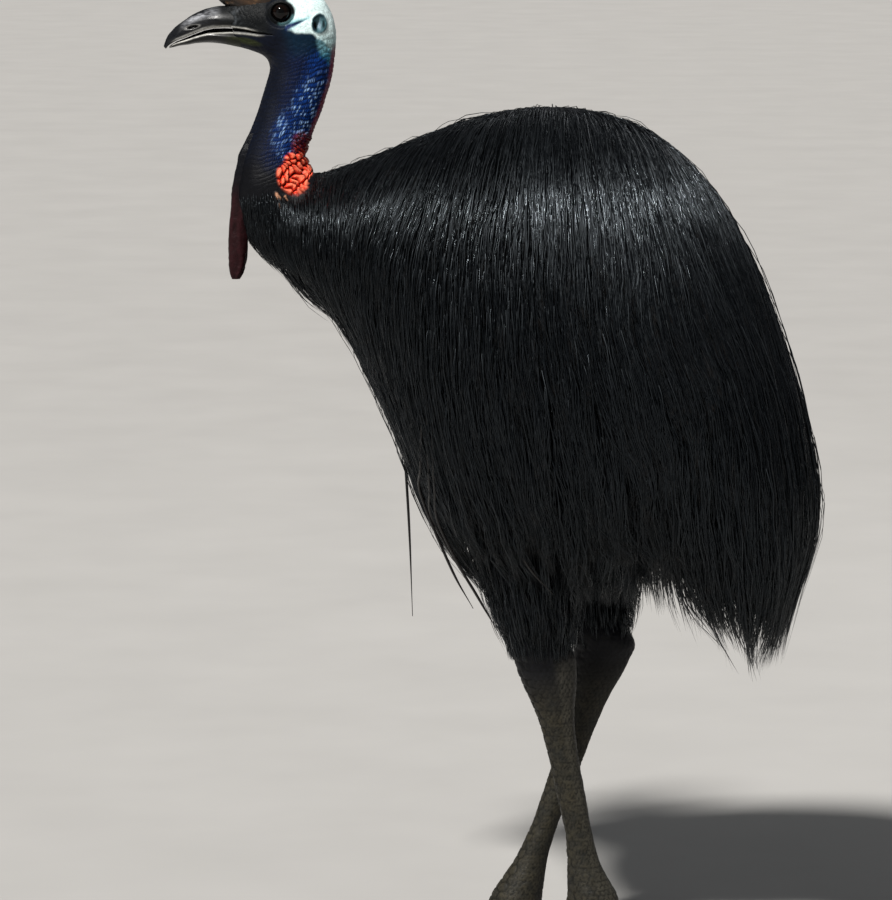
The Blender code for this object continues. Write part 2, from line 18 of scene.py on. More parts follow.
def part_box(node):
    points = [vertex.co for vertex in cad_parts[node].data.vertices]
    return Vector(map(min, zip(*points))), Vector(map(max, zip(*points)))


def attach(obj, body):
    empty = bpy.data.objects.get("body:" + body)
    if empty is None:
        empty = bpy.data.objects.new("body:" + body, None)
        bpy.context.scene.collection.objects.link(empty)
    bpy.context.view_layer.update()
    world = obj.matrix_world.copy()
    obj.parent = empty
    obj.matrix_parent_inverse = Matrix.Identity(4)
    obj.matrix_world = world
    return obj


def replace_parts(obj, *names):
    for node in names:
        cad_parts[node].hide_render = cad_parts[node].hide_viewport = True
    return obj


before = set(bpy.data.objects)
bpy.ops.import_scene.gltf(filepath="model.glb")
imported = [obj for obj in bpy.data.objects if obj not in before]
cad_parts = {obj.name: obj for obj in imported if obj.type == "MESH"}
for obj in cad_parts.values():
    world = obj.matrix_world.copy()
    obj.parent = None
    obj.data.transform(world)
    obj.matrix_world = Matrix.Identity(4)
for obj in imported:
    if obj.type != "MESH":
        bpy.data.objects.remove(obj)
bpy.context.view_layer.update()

# Sections of the outside of the plumage: back point x, z; throat or belly point x, z; half width;
# how far the widest line lies towards the belly.
COAT = np.array((
    (-0.417, 1.180, -0.403, 1.127, 0.020, 0.00),
    (-0.394, 1.192, -0.388, 1.1225, 0.029, 0.08),
    (-0.362, 1.201, -0.377, 1.1185, 0.0345, 0.10),
    (-0.328, 1.203, -0.371, 1.115, 0.0375, 0.08),
    (-0.299, 1.190, -0.3665, 1.1105, 0.038, 0.04),
    (-0.283, 1.160, -0.3645, 1.1045, 0.037, 0.02),
    (-0.281, 1.126, -0.3645, 1.096, 0.036, 0.00),
    (-0.286, 1.090, -0.3695, 1.079, 0.0355, 0.00),
    (-0.296, 1.056, -0.379, 1.047, 0.0355, 0.00),
    (-0.308, 1.025, -0.392, 1.014, 0.0365, 0.00),
    (-0.318, 0.998, -0.403, 0.979, 0.039, 0.00),
    (-0.317, 0.981, -0.4075, 0.947, 0.044, 0.02),
    (-0.303, 0.973, -0.401, 0.912, 0.051, 0.04),
    (-0.280, 0.977, -0.388, 0.877, 0.063, 0.06),
    (-0.235, 0.992, -0.346, 0.838, 0.092, 0.08),
    (-0.170, 1.019, -0.281, 0.780, 0.135, 0.10),
    (-0.090, 1.046, -0.219, 0.665, 0.178, 0.12),
    (0.000, 1.056, -0.165, 0.530, 0.204, 0.13),
    (0.090, 1.036, -0.105, 0.452, 0.216, 0.13),
    (0.170, 0.977, -0.025, 0.425, 0.218, 0.11),
    (0.230, 0.887, 0.040, 0.420, 0.213, 0.08),
    (0.275, 0.777, 0.082, 0.423, 0.203, 0.05),
    (0.308, 0.667, 0.107, 0.430, 0.192, 0.02),
    (0.325, 0.560, 0.126, 0.414, 0.178, 0.00),
    (0.305, 0.455, 0.160, 0.386, 0.154, 0.00),
    (0.283, 0.362, 0.216, 0.350, 0.112, 0.00),
))
NECK_BASE = 12                                  # place of the neck's lower end in the list of sections
SKIN_DEPTH = 0.0006                             # bare skin lies this far inside the solids
# Sections of the skin from the neck base on, under the feathers.
SKIN_BODY = np.array((
    (-0.307, 0.969, -0.397, 0.912, 0.046, 0.04),
    (-0.284, 0.971, -0.380, 0.881, 0.056, 0.06),
    (-0.238, 0.988, -0.337, 0.846, 0.080, 0.08),
    (-0.172, 1.0145, -0.268, 0.797, 0.120, 0.08),
    (-0.0915, 1.0415, -0.200, 0.700, 0.157, 0.08),
    (-0.001, 1.0515, -0.132, 0.600, 0.178, 0.06),
    (0.088, 1.031, -0.060, 0.552, 0.186, 0.05),
    (0.166, 0.972, 0.005, 0.548, 0.183, 0.04),
    (0.221, 0.887, 0.062, 0.575, 0.168, 0.02),
    (0.254, 0.797, 0.104, 0.612, 0.142, 0.00),
    (0.256, 0.731, 0.139, 0.650, 0.102, 0.00),
    (0.246, 0.690, 0.168, 0.676, 0.060, 0.00),
))
BELLY_SQUARENESS = 2.2

EYE = np.array((-0.348, 0.0255, 1.1715))
EYE_RADIUS = 0.0138
SIDES = {"left": -1, "right": 1}                # and the sign of y there

GROUND = -0.012
SHIFT = np.array([(low + high) / 2 for low, high in zip(*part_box("eye_left"))]) - EYE * (1, -1, 1)

# Photo camera, in the layout frame.
CAMERA = np.array((-0.144, -6.0, 1.45))
AIM = np.array((-0.144, 0.0, 0.620))
HALF_FRAME = 0.567                              # half the picture's height at the aim, in metres


def spline(keys, where):
    """Values at places along keys one step apart, on a smooth curve through them."""
    keys = np.asarray(keys, float)
    where = np.clip(np.asarray(where, float), 0.0, len(keys) - 1.0)
    padded = np.vstack((2 * keys[0] - keys[1], keys, 2 * keys[-1] - keys[-2]))
    first = np.minimum(where.astype(int), len(keys) - 2)
    share = (where - first)[..., None]
    before, start, stop, after = (padded[first + i] for i in range(4))
    slope_start, slope_stop = (stop - before) / 2, (after - start) / 2
    square, cube = share ** 2, share ** 3
    return (start * (2 * cube - 3 * square + 1) + stop * (3 * square - 2 * cube)
            + slope_start * (cube - 2 * square + share) + slope_stop * (cube - square))


def section_points(rows, angle):
    """Points at angles (from the back round +Y) on sections given as rows."""
    outer, inner = rows[..., 0:2], rows[..., 2:4]
    half_width, belly = rows[..., 4], rows[..., 5]
    rise, side = np.cos(angle), np.sin(angle)
    square_off = BELLY_SQUARENESS * belly * np.maximum(0.0, -rise)
    width = half_width * np.sign(side) * np.abs(side) ** (1 - square_off) * (1 - belly * rise)
    line = (outer + inner) / 2 + (outer - inner) / 2 * rise[..., None]
    return np.stack((line[..., 0], width, line[..., 1]), -1)


def skin_rows():
    """Skin sections: the solids' own, a little inside, over the head and neck, then the body's."""
    bare = COAT[:NECK_BASE].copy()
    line = bare[:, 2:4] - bare[:, 0:2]
    line /= np.linalg.norm(line, axis=1)[:, None]
    bare[:, 0:2] += line * SKIN_DEPTH
    bare[:, 2:4] -= line * SKIN_DEPTH
    bare[:, 4] -= SKIN_DEPTH
    return np.vstack((bare, SKIN_BODY))


SKIN = skin_rows()


def ramp(value, low, high):
    """0 below low, 1 above high, smooth between them."""
    share = np.clip((value - low) / (high - low), 0.0, 1.0)
    return share * share * (3 - 2 * share)


def fade(value, low, high):
    """1 below low, 0 above high, smooth between them."""
    return 1 - ramp(value, low, high)


def bell(value, middle, reach):
    """1 at the middle, falling to nothing on both sides of it."""
    return np.exp(-((value - middle) / reach) ** 2)


def oval(x, z, spot):
    """Distance from the centre of an oval given as x, z and half sizes, 1 on its edge."""
    return np.hypot((x - spot[0]) / spot[2], (z - spot[1]) / spot[3])


def circle(count):
    """Angles of even steps round a circle."""
    return np.arange(count) * 2 * math.pi / count


def spread(x, y, z):
    """Points from their x, y and z, spread over one grid."""
    return np.stack(np.broadcast_arrays(x, y, z), -1)


def unit(vectors):
    """The same directions at length 1."""
    return vectors / (np.linalg.norm(vectors, axis=-1, keepdims=True) + 1e-12)


def finely(table, count):
    """So many rows on a smooth curve through those of a table."""
    return spline(table, np.linspace(0, len(table) - 1, count))


def corner_weights(share):
    """The eight corners of a cell, with their weights at places given as shares of its sides."""
    for corner in itertools.product((0, 1), repeat=3):
        x, y, z = (np.where(far, share[..., axis], 1 - share[..., axis]) for axis, far in enumerate(corner))
        yield corner, x * y * z


class Noise:
    """Smooth noise from -1 to 1 in three dimensions, the same each run."""

    def __init__(self, seed):
        self.table = np.random.default_rng(seed).uniform(-1.0, 1.0, (32, 32, 32))

    def __call__(self, points, scale):
        place = np.asarray(points) / scale
        cell = np.floor(place).astype(int)
        share = place - cell
        total = 0.0
        for corner, weight in corner_weights(share * share * (3 - 2 * share)):
            spot = (cell + corner) % 32
            total = total + weight * self.table[spot[..., 0], spot[..., 1], spot[..., 2]]
        return total


noise = Noise(7)


def signed_volume(points, faces):
    """Six times the volume inside closed faces, positive where they face outwards."""
    total = 0.0
    for part in faces:
        first = points[part[:, 0]]
        for i in range(1, part.shape[1] - 1):
            total += (first * np.cross(points[part[:, i]], points[part[:, i + 1]])).sum()
    return total


def outward(points, faces):
    """The faces of a closed surface, turned to face outwards."""
    return faces if signed_volume(points, faces) > 0 else [part[:, ::-1] for part in faces]


def read(items, key, width=1, kind=np.float32):
    """A property of every item of a mesh."""
    values = np.empty(len(items) * width, kind)
    items.foreach_get(key, values)
    return values.reshape(-1, width) if width > 1 else values


def store(mesh, name, values):
    """Keeps a number or a colour for each point of a mesh, in place of one kept before."""
    values = np.asarray(values, np.float32)
    kind, key = "FLOAT", "value"
    if values.ndim == 2:
        kind, key = "FLOAT_COLOR", "color"
        values = np.column_stack((values, np.ones(len(values), np.float32)))
    attribute = mesh.attributes.get(name) or mesh.attributes.new(name, kind, "POINT")
    attribute.data.foreach_set(key, values.ravel())


def new_mesh(name, points, faces, closed=True):
    """Smooth mesh from points and a list of face arrays, all faces of one array with equal corners."""
    if closed:
        faces = outward(points, faces)
    mesh = bpy.data.meshes.new(name)
    corners = np.concatenate([part.ravel() for part in faces])
    sizes = np.concatenate([np.full(len(part), part.shape[1]) for part in faces])
    mesh.vertices.add(len(points))
    mesh.vertices.foreach_set("co", (points + SHIFT).astype(np.float32).ravel())
    mesh.loops.add(len(corners))
    mesh.polygons.add(len(sizes))
    mesh.loops.foreach_set("vertex_index", corners.astype(np.int32))
    mesh.polygons.foreach_set("loop_start", (np.cumsum(sizes) - sizes).astype(np.int32))
    mesh.update(calc_edges=True)
    mesh.shade_smooth()
    return mesh


def linked(name, data):
    """A new object in the scene."""
    item = bpy.data.objects.new(name, data)
    bpy.context.scene.collection.objects.link(item)
    return item


def new_piece(name, mesh, material):
    """A visible piece, which rides on the one body."""
    piece = linked(name, mesh)
    mesh.materials.append(material)
    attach(piece, "root")
    return piece


def grid_faces(rings, points):
    """Quads of a tube of rings, each of so many points."""
    i, j = np.meshgrid(np.arange(rings - 1), np.arange(points), indexing="ij")
    nxt = (j + 1) % points
    return np.stack((i * points + j, i * points + nxt, (i + 1) * points + nxt, (i + 1) * points + j),
                    -1).reshape(-1, 4)


def capped(colour):
    """Colours of a tube's points from those of its rings, with the two end points last."""
    flat = colour.reshape(-1, 3)
    return np.vstack((flat, flat[0], flat[-1]))


def tube(rings):
    """Points and faces of a closed tube through rings (n, m, 3), its ends closed by fans."""
    count, around = rings.shape[:2]
    points = np.vstack((rings.reshape(-1, 3), rings[0].mean(0), rings[-1].mean(0)))
    side = np.arange(around)
    nxt = (side + 1) % around
    first = np.stack((nxt, side, np.full(around, count * around)), -1)
    last = (count - 1) * around
    final = np.stack((last + side, last + nxt, np.full(around, count * around + 1)), -1)
    return points, [grid_faces(count, around), np.vstack((first, final))]


def merged(grids):
    """Points and faces of several closed tubes as one."""
    points, faces, base = [], [], 0
    for rings in grids:
        own_points, own_faces = tube(rings)
        points.append(own_points)
        faces += [part + base for part in own_faces]
        base += len(own_points)
    return np.vstack(points), faces


# Skin of the head, neck and trunk
AROUND = 216
SKIN_STEPS = np.concatenate((np.linspace(0, 6, 150), np.linspace(6, 9.6, 96)[1:],
                             np.linspace(9.6, 12.2, 110)[1:], np.linspace(12.2, 23, 56)[1:]))
LID_OPENING = (0.0126, 0.0112, 0.0122)          # half sizes along, above and below the eye's centre
EAR = (-0.3015, 1.157, 0.0083, 0.0108)          # centre x, z and half sizes
GAPE = np.array((                               # x, z, half distance of the lips, half height of the slit
    (-0.411, 1.1490, 0.0038, 0.0022), (-0.392, 1.1475, 0.0033, 0.0018),
    (-0.378, 1.1453, 0.0026, 0.0013), (-0.357, 1.1434, 0.0014, 0.0006),
))
CARUNCLE = (-0.3325, 0.9715, 0.0212, 0.0245)    # the red patch on the side of the neck, in the same way
FOLDS = (-0.3235, 1.008, 0.0125, 0.016)         # the folds that link it to the nape

INK = np.array((0.0020, 0.0022, 0.0035))
NAVY = np.array((0.0025, 0.0045, 0.0120))
FACE_GREY = np.array((0.0030, 0.0038, 0.0044))
TEAL_DARK = np.array((0.0013, 0.0120, 0.0280))
TURQUOISE = np.array((0.100, 0.470, 0.540))
PALE = np.array((0.780, 0.950, 0.945))
ASH_TEAL = np.array((0.240, 0.420, 0.430))
ROYAL = np.array((0.0036, 0.0390, 0.2150))
COBALT = np.array((0.0014, 0.0080, 0.0420))
# BEAD_GLINT_PAINT: pale blue glints on the neck's beads, a painted highlight.
BEAD_GLINT_PAINT = np.array((0.300, 0.500, 0.830))
MAROON = np.array((0.210, 0.016, 0.030))
RED = np.array((0.850, 0.055, 0.022))
# RED_LOBE_HIGHLIGHT is a painted highlight on the tops of the caruncle's lobes. RED_GROOVE_SHADE is painted
# shade in the grooves between them.
RED_LOBE_HIGHLIGHT = np.array((0.980, 0.270, 0.150))
RED_GROOVE_SHADE = np.array((0.120, 0.004, 0.003))
TAN = np.array((0.420, 0.215, 0.130))
TAN_BITS = ((-0.3525, 0.9440, 0.0064), (-0.3490, 0.9325, 0.0050), (-0.3430, 0.9425, 0.0034))   # x, z, reach
OLIVE = np.array((0.030, 0.036, 0.010))
WATTLE_COLOUR = np.array((0.017, 0.0042, 0.0052))


def plain(colour, points):
    """One colour for all points."""
    return np.broadcast_to(colour, points.shape).copy()


def blend(colour, target, share):
    """Moves colours towards a target colour by a share for each point."""
    colour += (target - colour) * np.clip(share, 0, 1)[..., None]


def surface_normals(grid):
    """Outward normals of a closed tube of rings."""
    along = np.gradient(grid, axis=0)
    around = np.roll(grid, -1, axis=1) - np.roll(grid, 1, axis=1)
    normal = unit(np.cross(around, along))
    middle = grid.mean(axis=1, keepdims=True)
    return normal * np.sign(((grid - middle) * normal).sum(-1).mean())


def eye_distance(points):
    """Distance from the eye's centre in the side view, 1 at the edge of the lids."""
    along = (points[..., 0] - EYE[0]) / LID_OPENING[0]
    rise = points[..., 2] - EYE[2]
    rise = np.where(rise > 0, rise / LID_OPENING[1], rise / LID_OPENING[2])
    return np.hypot(along, rise)


def snap_to_lids(grid):
    """Moves grid points that are near the edge of the lids onto it, for a clean edge."""
    distance = eye_distance(grid)
    near = (np.abs(distance - 1) < 0.045) & (np.abs(grid[..., 1]) > 0.012)
    factor = np.where(near, 1 / distance, 1.0)
    grid = grid.copy()
    grid[..., 0] = EYE[0] + (grid[..., 0] - EYE[0]) * factor
    grid[..., 2] = EYE[2] + (grid[..., 2] - EYE[2]) * factor
    return grid


def gape_at(x):
    """Height of the gape, half distance of its lips and half height of its slit."""
    return (np.interp(x, GAPE[:, 0], GAPE[:, i]) for i in (1, 2, 3))


def lobes(points, wide, tall, wander, seed):
    """Rounded lobes, longer than wide and lying at all angles: 0 between them, 1 on top."""
    drift = np.stack((noise(points + seed, 0.014), 0 * points[..., 0], noise(points - seed, 0.014)), -1)
    moved = points + wander * drift
    apart, mark = cells(0.83 * moved[..., 0] + 0.55 * moved[..., 2],
                        0.55 * moved[..., 0] - 0.83 * moved[..., 2], wide, tall, seed)
    return ramp(apart, 0.02, 0.60) ** 0.7, mark


def body_skin():
    """Points, faces and colours of the skin of head, neck and trunk."""
    angle = circle(AROUND)
    grid = section_points(spline(SKIN, SKIN_STEPS)[:, None], angle[None])
    grid = snap_to_lids(grid)
    normal = surface_normals(grid)
    step = np.broadcast_to(SKIN_STEPS[:, None], grid.shape[:2])
    turn = np.broadcast_to(angle[None], grid.shape[:2])
    front_share = (1 - np.cos(turn)) / 2               # 0 at the nape, 1 at the throat
    x, side_y, z = grid[..., 0], np.abs(grid[..., 1]), grid[..., 2]
    spans = np.linalg.norm(np.diff(grid.mean(1), axis=0), axis=-1)
    along = np.broadcast_to(np.concatenate(((0,), np.cumsum(spans)))[:, None], grid.shape[:2])

    eye = eye_distance(grid)
    ear_x, ear_z = (x - EAR[0]) / EAR[2], (z - EAR[1]) / EAR[3]
    ear = np.hypot(ear_x, ear_z)
    lateral = ramp(side_y, 0.010, 0.020)
    gape_height, lip_reach, slit_reach = gape_at(x)
    below_gape = gape_height - z
    on_head = fade(step, 5.4, 6.4)
    on_neck = ramp(step, 4.6, 6.2) * fade(step, 11.6, 13.0)
    gape_reach = ramp(-x, 0.353, 0.364)

    # Caruncle patch and the folds that run up from it to the nape.
    patch = fade(oval(x, z, CARUNCLE) + noise(grid, 0.012) * 0.20, 0.86, 1.06)
    fold, fold_mark = lobes(grid, 0.0054, 0.0116, 0.0072, 2.0)
    link = fade(oval(x, z, FOLDS), 0.7, 1.2) * (1 - patch)
    link_fold, _ = lobes(grid, 0.0040, 0.0090, 0.0040, 6.0)
    tan_bits = np.zeros_like(x)
    for bit_x, bit_z, reach in TAN_BITS:
        tan_bits = np.maximum(tan_bits, fade(
            np.hypot((x - bit_x + 0.5 * (z - bit_z)) / (0.50 * reach), (z - bit_z) / reach), 0.6, 1.1))

    # Short beads in rows that run down the neck.
    drift = noise(grid * (1, 1, 0.6), 0.012)
    beads, bead_mark = cells(turn * 0.036 + 0.0030 * drift, along + 0.0030 * noise(grid + 4.0, 0.012),
                             0.0025, 0.0056, 5.0)
    bead = ramp(beads, 0.04, 0.55)
    wrinkle_zone = on_neck * (1 - patch) * fade(step, 10.6, 11.8)

    relief = patch * (fold * 0.0050 - 0.0012)
    relief += link * link_fold * 0.0026
    relief += tan_bits * 0.0030
    sides = 1 - 0.65 * ramp(front_share, 0.45, 0.75)
    relief += wrinkle_zone * sides * (bead * (0.75 + 0.5 * bead_mark) - 0.4) * 0.0011
    relief += on_neck * (1 - patch) * noise(grid * (1, 1, 0.5), 0.016) * 0.0010
    relief += on_head * (noise(grid, 0.0042) * 0.00022 + noise(grid, 0.011) * 0.0004)
    lores = fade(x, -0.372, -0.362) * on_head * lateral * ramp(z, 1.150, 1.156)
    relief -= lores * (0.5 + 0.5 * np.cos(2 * math.pi * (x + 0.25 * z) / 0.0062
                                          + 7.0 * noise(grid, 0.007))) ** 3 * 0.0005
    jowl = on_head * ramp(below_gape, 0.002, 0.010) * lateral
    relief -= jowl * (0.5 + 0.5 * np.cos(2 * math.pi * (z + 0.35 * x) / 0.0068
                                         + 3.6 * noise(grid, 0.010))) ** 3 * 0.0004
    relief += on_head * lateral * 0.0016 * bell(ear, 1.0, 0.26)
    relief -= on_head * lateral * 0.0050 * fade(np.hypot(
        (x - EAR[0] + 0.0020) / 0.0060, (z - EAR[1]) / 0.0095), 0.40, 0.95)
    crease_line = 1.1575 + 0.38 * (x + 0.3295)
    thick = np.interp(x, (-0.342, -0.330, -0.320), (0.0038, 0.0022, 0.0007))
    crease = (bell(z, crease_line, thick) * ramp(x, -0.345, -0.340)
              * fade(x, -0.324, -0.315) * lateral * on_head)
    relief -= crease * 0.0014
    slit = np.exp(-(below_gape / slit_reach) ** 4) * gape_reach * lateral * on_head
    relief -= slit * np.minimum(0.0050, 2.4 * slit_reach)
    lips = bell(np.abs(below_gape), lip_reach, 0.0011) * gape_reach * lateral * on_head
    relief += lips * 0.0006
    relief += fade(x, -0.4085, -0.398) * on_head * 0.0005    # the skin's edge on the horn of the bill
    grid = grid + normal * relief[..., None]

    # Lids: the skin rises over the ball's edge and drops behind the eye inside the opening.
    rim = EYE[1] + 0.0078 - 0.0014 * ramp(eye, 1.14, 1.34)
    rim = rim + 0.0006 * bell(eye, 1.10, 0.07)
    side = np.where(eye < 0.985, EYE[1] + 0.0020, rim)
    share = fade(eye, 1.30, 1.72) * (np.abs(grid[..., 1]) > 0.012) * on_head
    grid[..., 1] += (np.sign(grid[..., 1]) * side - grid[..., 1]) * share

    # Colours.
    mottle = noise(grid, 0.006) * 0.5 + noise(grid, 0.0025) * 0.5
    warp = noise(grid, 0.008) * 0.0022
    colour = plain(NAVY, grid)
    blend(colour, FACE_GREY, on_head * ramp(-x, 0.345, 0.372) * (below_gape < 0))
    cere = on_head * bell(x, -0.404, 0.0065) * ramp(z, 1.151, 1.157)
    blend(colour, (0.052, 0.058, 0.064), cere * ramp(mottle, -0.35, 0.45) * 0.85)
    blend(colour, OLIVE, on_head * fade(np.hypot(
        (x + 0.390) / 0.017, (z - 1.1345 + 0.2 * (x + 0.390)) / 0.0045), 0.6, 1.3) * 0.8)
    blue_reach = np.interp(step, (5.4, 6.4, 7.7, 8.6, 9.1, 9.6, 10.4),
                           (0.34, 0.40, 0.50, 0.63, 0.60, 0.50, 0.30))
    cloud = noise(grid * (1, 1, 0.5), 0.013)
    inside_blue = fade(front_share - 0.05 * cloud, blue_reach - 0.12, blue_reach + 0.10)
    blend(colour, COBALT, ramp(step, 4.4, 5.4) * fade(front_share, 0.50, 0.85)
          * fade(step, 10.2, 11.2))
    royal = inside_blue * ramp(step, 4.9, 6.2) * fade(step, 9.8, 10.6)
    blend(colour, ROYAL, royal * np.clip(0.22 + 0.66 * bead + 0.18 * cloud, 0.10, 1))
    # Pale blue specks on some beads: painted glints.
    bead_glint = ramp(bead_mark, 0.06, 0.40) * bead * ramp(cloud, -0.90, 0.10)
    blend(colour, BEAD_GLINT_PAINT, royal * bead_glint * ramp(step, 6.4, 7.4) * 0.85)
    # Near black in the grooves between the beads: painted shade.
    blend(colour, INK, wrinkle_zone * (1 - bead) * 0.70)

    lower_edge = np.interp(x, (-0.346, -0.340, -0.321, -0.309, -0.300, -0.290, -0.280),
                           (1.1540, 1.1492, 1.1460, 1.1436, 1.1385, 1.1290, 1.1180))
    behind_eye = ramp(x + warp, -0.3425, -0.3375)
    teal = on_head * ramp(x + warp, -0.356, -0.335) * ramp(z + 4 * warp, 1.104, 1.130)
    blend(colour, TEAL_DARK, teal * fade(front_share, 0.55, 0.80))
    rear_edge = (ramp(x + 2 * warp, -0.305, -0.293) * ramp(z + 4 * warp, 1.106, 1.126)
                 * fade(front_share, 0.30, 0.48))
    blend(colour, TURQUOISE * (0.30, 0.42, 0.55), rear_edge)
    blend(colour, ASH_TEAL, rear_edge * ramp(z + 2 * warp, 1.114, 1.132) * (0.75 + 0.25 * mottle))
    pale = on_head * behind_eye * ramp(z + warp - lower_edge, -0.0018, 0.0014)
    blend(colour, PALE, pale * (0.94 + 0.10 * mottle))
    blend(colour, TURQUOISE, pale * ramp(mottle, 0.25, 0.85) * 0.18)
    shade = pale * fade(z, 1.128, 1.150) * ramp(x, -0.306, -0.296)
    blend(colour, ASH_TEAL * 1.35, shade * 0.75)
    blend(colour, TURQUOISE, 0.7 * bell(z - crease_line, 0.0012, 2.2 * thick)
          * ramp(x, -0.345, -0.340) * fade(x, -0.318, -0.306) * pale)
    blend(colour, ROYAL * 0.30, crease * 1.5)
    in_ear = on_head * lateral * fade(ear + 0.10 * mottle, 1.02, 1.26)
    blend(colour, (0.060, 0.130, 0.150), in_ear)
    # Darker on the upper front of the ear's inner wall: painted shade.
    rim_side = ramp(0.75 * ear_z - ear_x, -0.55, 0.35)
    blend(colour, (0.006, 0.024, 0.036), in_ear * ramp(ear, 0.62, 0.92) * rim_side)
    # Near black pit and slot in the ear opening: painted shade in the hole.
    pit = fade(oval(ear_x, ear_z, (-0.38, -0.22, 0.34, 0.62)), 0.65, 1.15)
    slot = fade(oval(ear_x, ear_z, (0.66, -0.10, 0.17, 0.50)), 0.60, 1.20)
    blend(colour, INK, in_ear * np.maximum(pit, 0.8 * slot))
    # A pale spot inside the ear: a painted highlight.
    blend(colour, (0.300, 0.400, 0.480), in_ear * 0.85 * bell(ear_x, 0.16, 0.15) * bell(ear_z, -0.18, 0.50))
    around_eye = on_head * fade(eye, 1.24, 1.48)
    blend(colour, (0.0022, 0.0030, 0.0036), around_eye)
    # A pale crescent on the lower rear edge of the lids: a painted highlight.
    painted_lid_highlight = (bell(eye, 1.20, 0.09) * ramp((x - EYE[0]) - 0.9 * (z - EYE[2]), 0.006, 0.014)
                 * ramp(EYE[2] - z, 0.001, 0.005))
    blend(colour, (0.200, 0.420, 0.450), painted_lid_highlight * on_head * 0.75)
    upper_lip = ramp(-x, 0.374, 0.392) * (below_gape < 0)
    lower_lip = ramp(-x, 0.366, 0.380) * (below_gape > 0)
    blend(colour, (0.480, 0.470, 0.430), lips * (upper_lip + lower_lip) * (0.75 + 0.3 * mottle))
    # Black in the slit of the gape: painted shade.
    blend(colour, INK * 0.6, slit)

    stripe = ramp(np.cos(turn), 0.84, 0.93) * ramp(step, 5.6, 6.2) * fade(step, 10.6, 11.4)
    blend(colour, MAROON, stripe * (0.8 + 0.3 * mottle))
    blend(colour, (0.120, 0.010, 0.010), link * (0.55 + 0.45 * link_fold))
    blend(colour, RED * 0.45, link * link_fold * fade(z, 0.998, 1.010))
    # Dark red in the grooves between the lobes is painted shade. The pale red on their tops is a painted
    # highlight.
    blend(colour, RED_GROOVE_SHADE, patch)
    blend(colour, RED, patch * ramp(fold, 0.10, 0.50))
    blend(colour, RED_LOBE_HIGHLIGHT, patch * ramp(fold + 0.2 * fold_mark, 0.62, 1.0) * 0.70)
    blend(colour, TAN, tan_bits)
    lower_neck = ramp(step + 1.1 * ramp(front_share, 0.3, 0.8), 10.1, 11.4)
    blend(colour, INK, lower_neck * (1 - patch) * (1 - tan_bits) * (1 - link))
    dark = fade(colour.max(-1), 0.02, 0.10)
    dull = (1.3 * dark - 1.4 * patch - 0.5 * tan_bits).ravel()
    return *tube(grid), capped(colour), np.append(dull, (0.0, 0.0))


# Wattles
WATTLE = np.array((                             # z, centre x, half length, half thickness
    (1.020, -0.384, 0.0060, 0.0050), (0.995, -0.393, 0.0090, 0.0080), (0.972, -0.396, 0.0115, 0.0085),
    (0.950, -0.399, 0.0125, 0.0075), (0.930, -0.400, 0.0128, 0.0066), (0.908, -0.4025, 0.0122, 0.0060),
    (0.885, -0.4045, 0.0118, 0.0060), (0.862, -0.4052, 0.0110, 0.0062), (0.847, -0.4060, 0.0088, 0.0054),
    (0.838, -0.4070, 0.0045, 0.0030),
))
WATTLE_SPREAD = (0.0120, 0.0150)


def wattle_skin(sign):
    """One of the two soft flaps that hang from the throat."""
    rings, around = 110, 48
    rows = finely(WATTLE, rings)
    turn = circle(around)
    share = (WATTLE[0, 0] - rows[:, 0]) / (WATTLE[0, 0] - WATTLE[-1, 0])
    away = WATTLE_SPREAD[0] + share * (WATTLE_SPREAD[1] - WATTLE_SPREAD[0])
    grid = spread(rows[:, 1, None] + rows[:, 2, None] * np.cos(turn),
                  sign * (away[:, None] + rows[:, 3, None] * np.sin(turn)), rows[:, 0, None])
    crease = np.cos(turn[None] * 5 + 1.6 * noise(grid, 0.02)) * 0.5 + 0.5
    relief = (crease ** 2 - 0.5) * 0.0009 + noise(grid, 0.004) * 0.0004 + noise(grid, 0.012) * 0.0006
    grid[..., 0] += np.cos(turn) * relief
    grid[..., 1] += sign * np.sin(turn) * relief
    colour = plain(WATTLE_COLOUR, grid)
    # Lighter on the ridges of the folds and darker in their troughs: painted light and shade.
    colour = colour * (0.75 + 0.5 * crease + 0.3 * noise(grid, 0.006))[..., None]
    blend(colour, INK * 1.5, fade(share, 0.25, 0.55)[:, None] * np.ones(around))
    paint = np.clip(capped(colour), 0, 1)
    return *tube(grid), paint, np.zeros(len(paint))


# Legs
DRUMSTICK = np.array((                          # z above the hock, x behind, half length, half width, beyond
    (0.260, -0.024, 0.062, 0.046, 0.012), (0.200, -0.024, 0.074, 0.054, 0.012),
    (0.150, -0.020, 0.072, 0.060, 0.012), (0.104, -0.017, 0.065, 0.058, 0.010),
    (0.066, -0.0133, 0.057, 0.052, 0.007), (0.032, -0.010, 0.045, 0.042, 0.003),
))
DRUMSTICK_COAT = (0.016, 0.016, 0.017, 0.016, 0.012, 0.0065)   # depth of the feathers on it
SHANK = np.array((                              # share from hock to toe joint, half length, half width
    (-0.10, 0.0400, 0.0380), (0.00, 0.0365, 0.0320), (0.08, 0.0325, 0.0285), (0.16, 0.0265, 0.0245),
    (0.26, 0.0215, 0.0205), (0.38, 0.0190, 0.0182), (0.55, 0.0184, 0.0172), (0.70, 0.0168, 0.0168),
    (0.76, 0.0170, 0.0170),
))
LEGS = {
    "left": {"side": -1, "hock": (-0.018, 0.070, 0.354), "joint": (0.041, 0.070, 0.058), "slope": -0.24,
             "bow": 0.001},
    "right": {"side": 1, "hock": (0.056, 0.070, 0.345), "joint": (-0.0525, 0.070, 0.032), "slope": 0.40,
              "bow": -0.005},
}
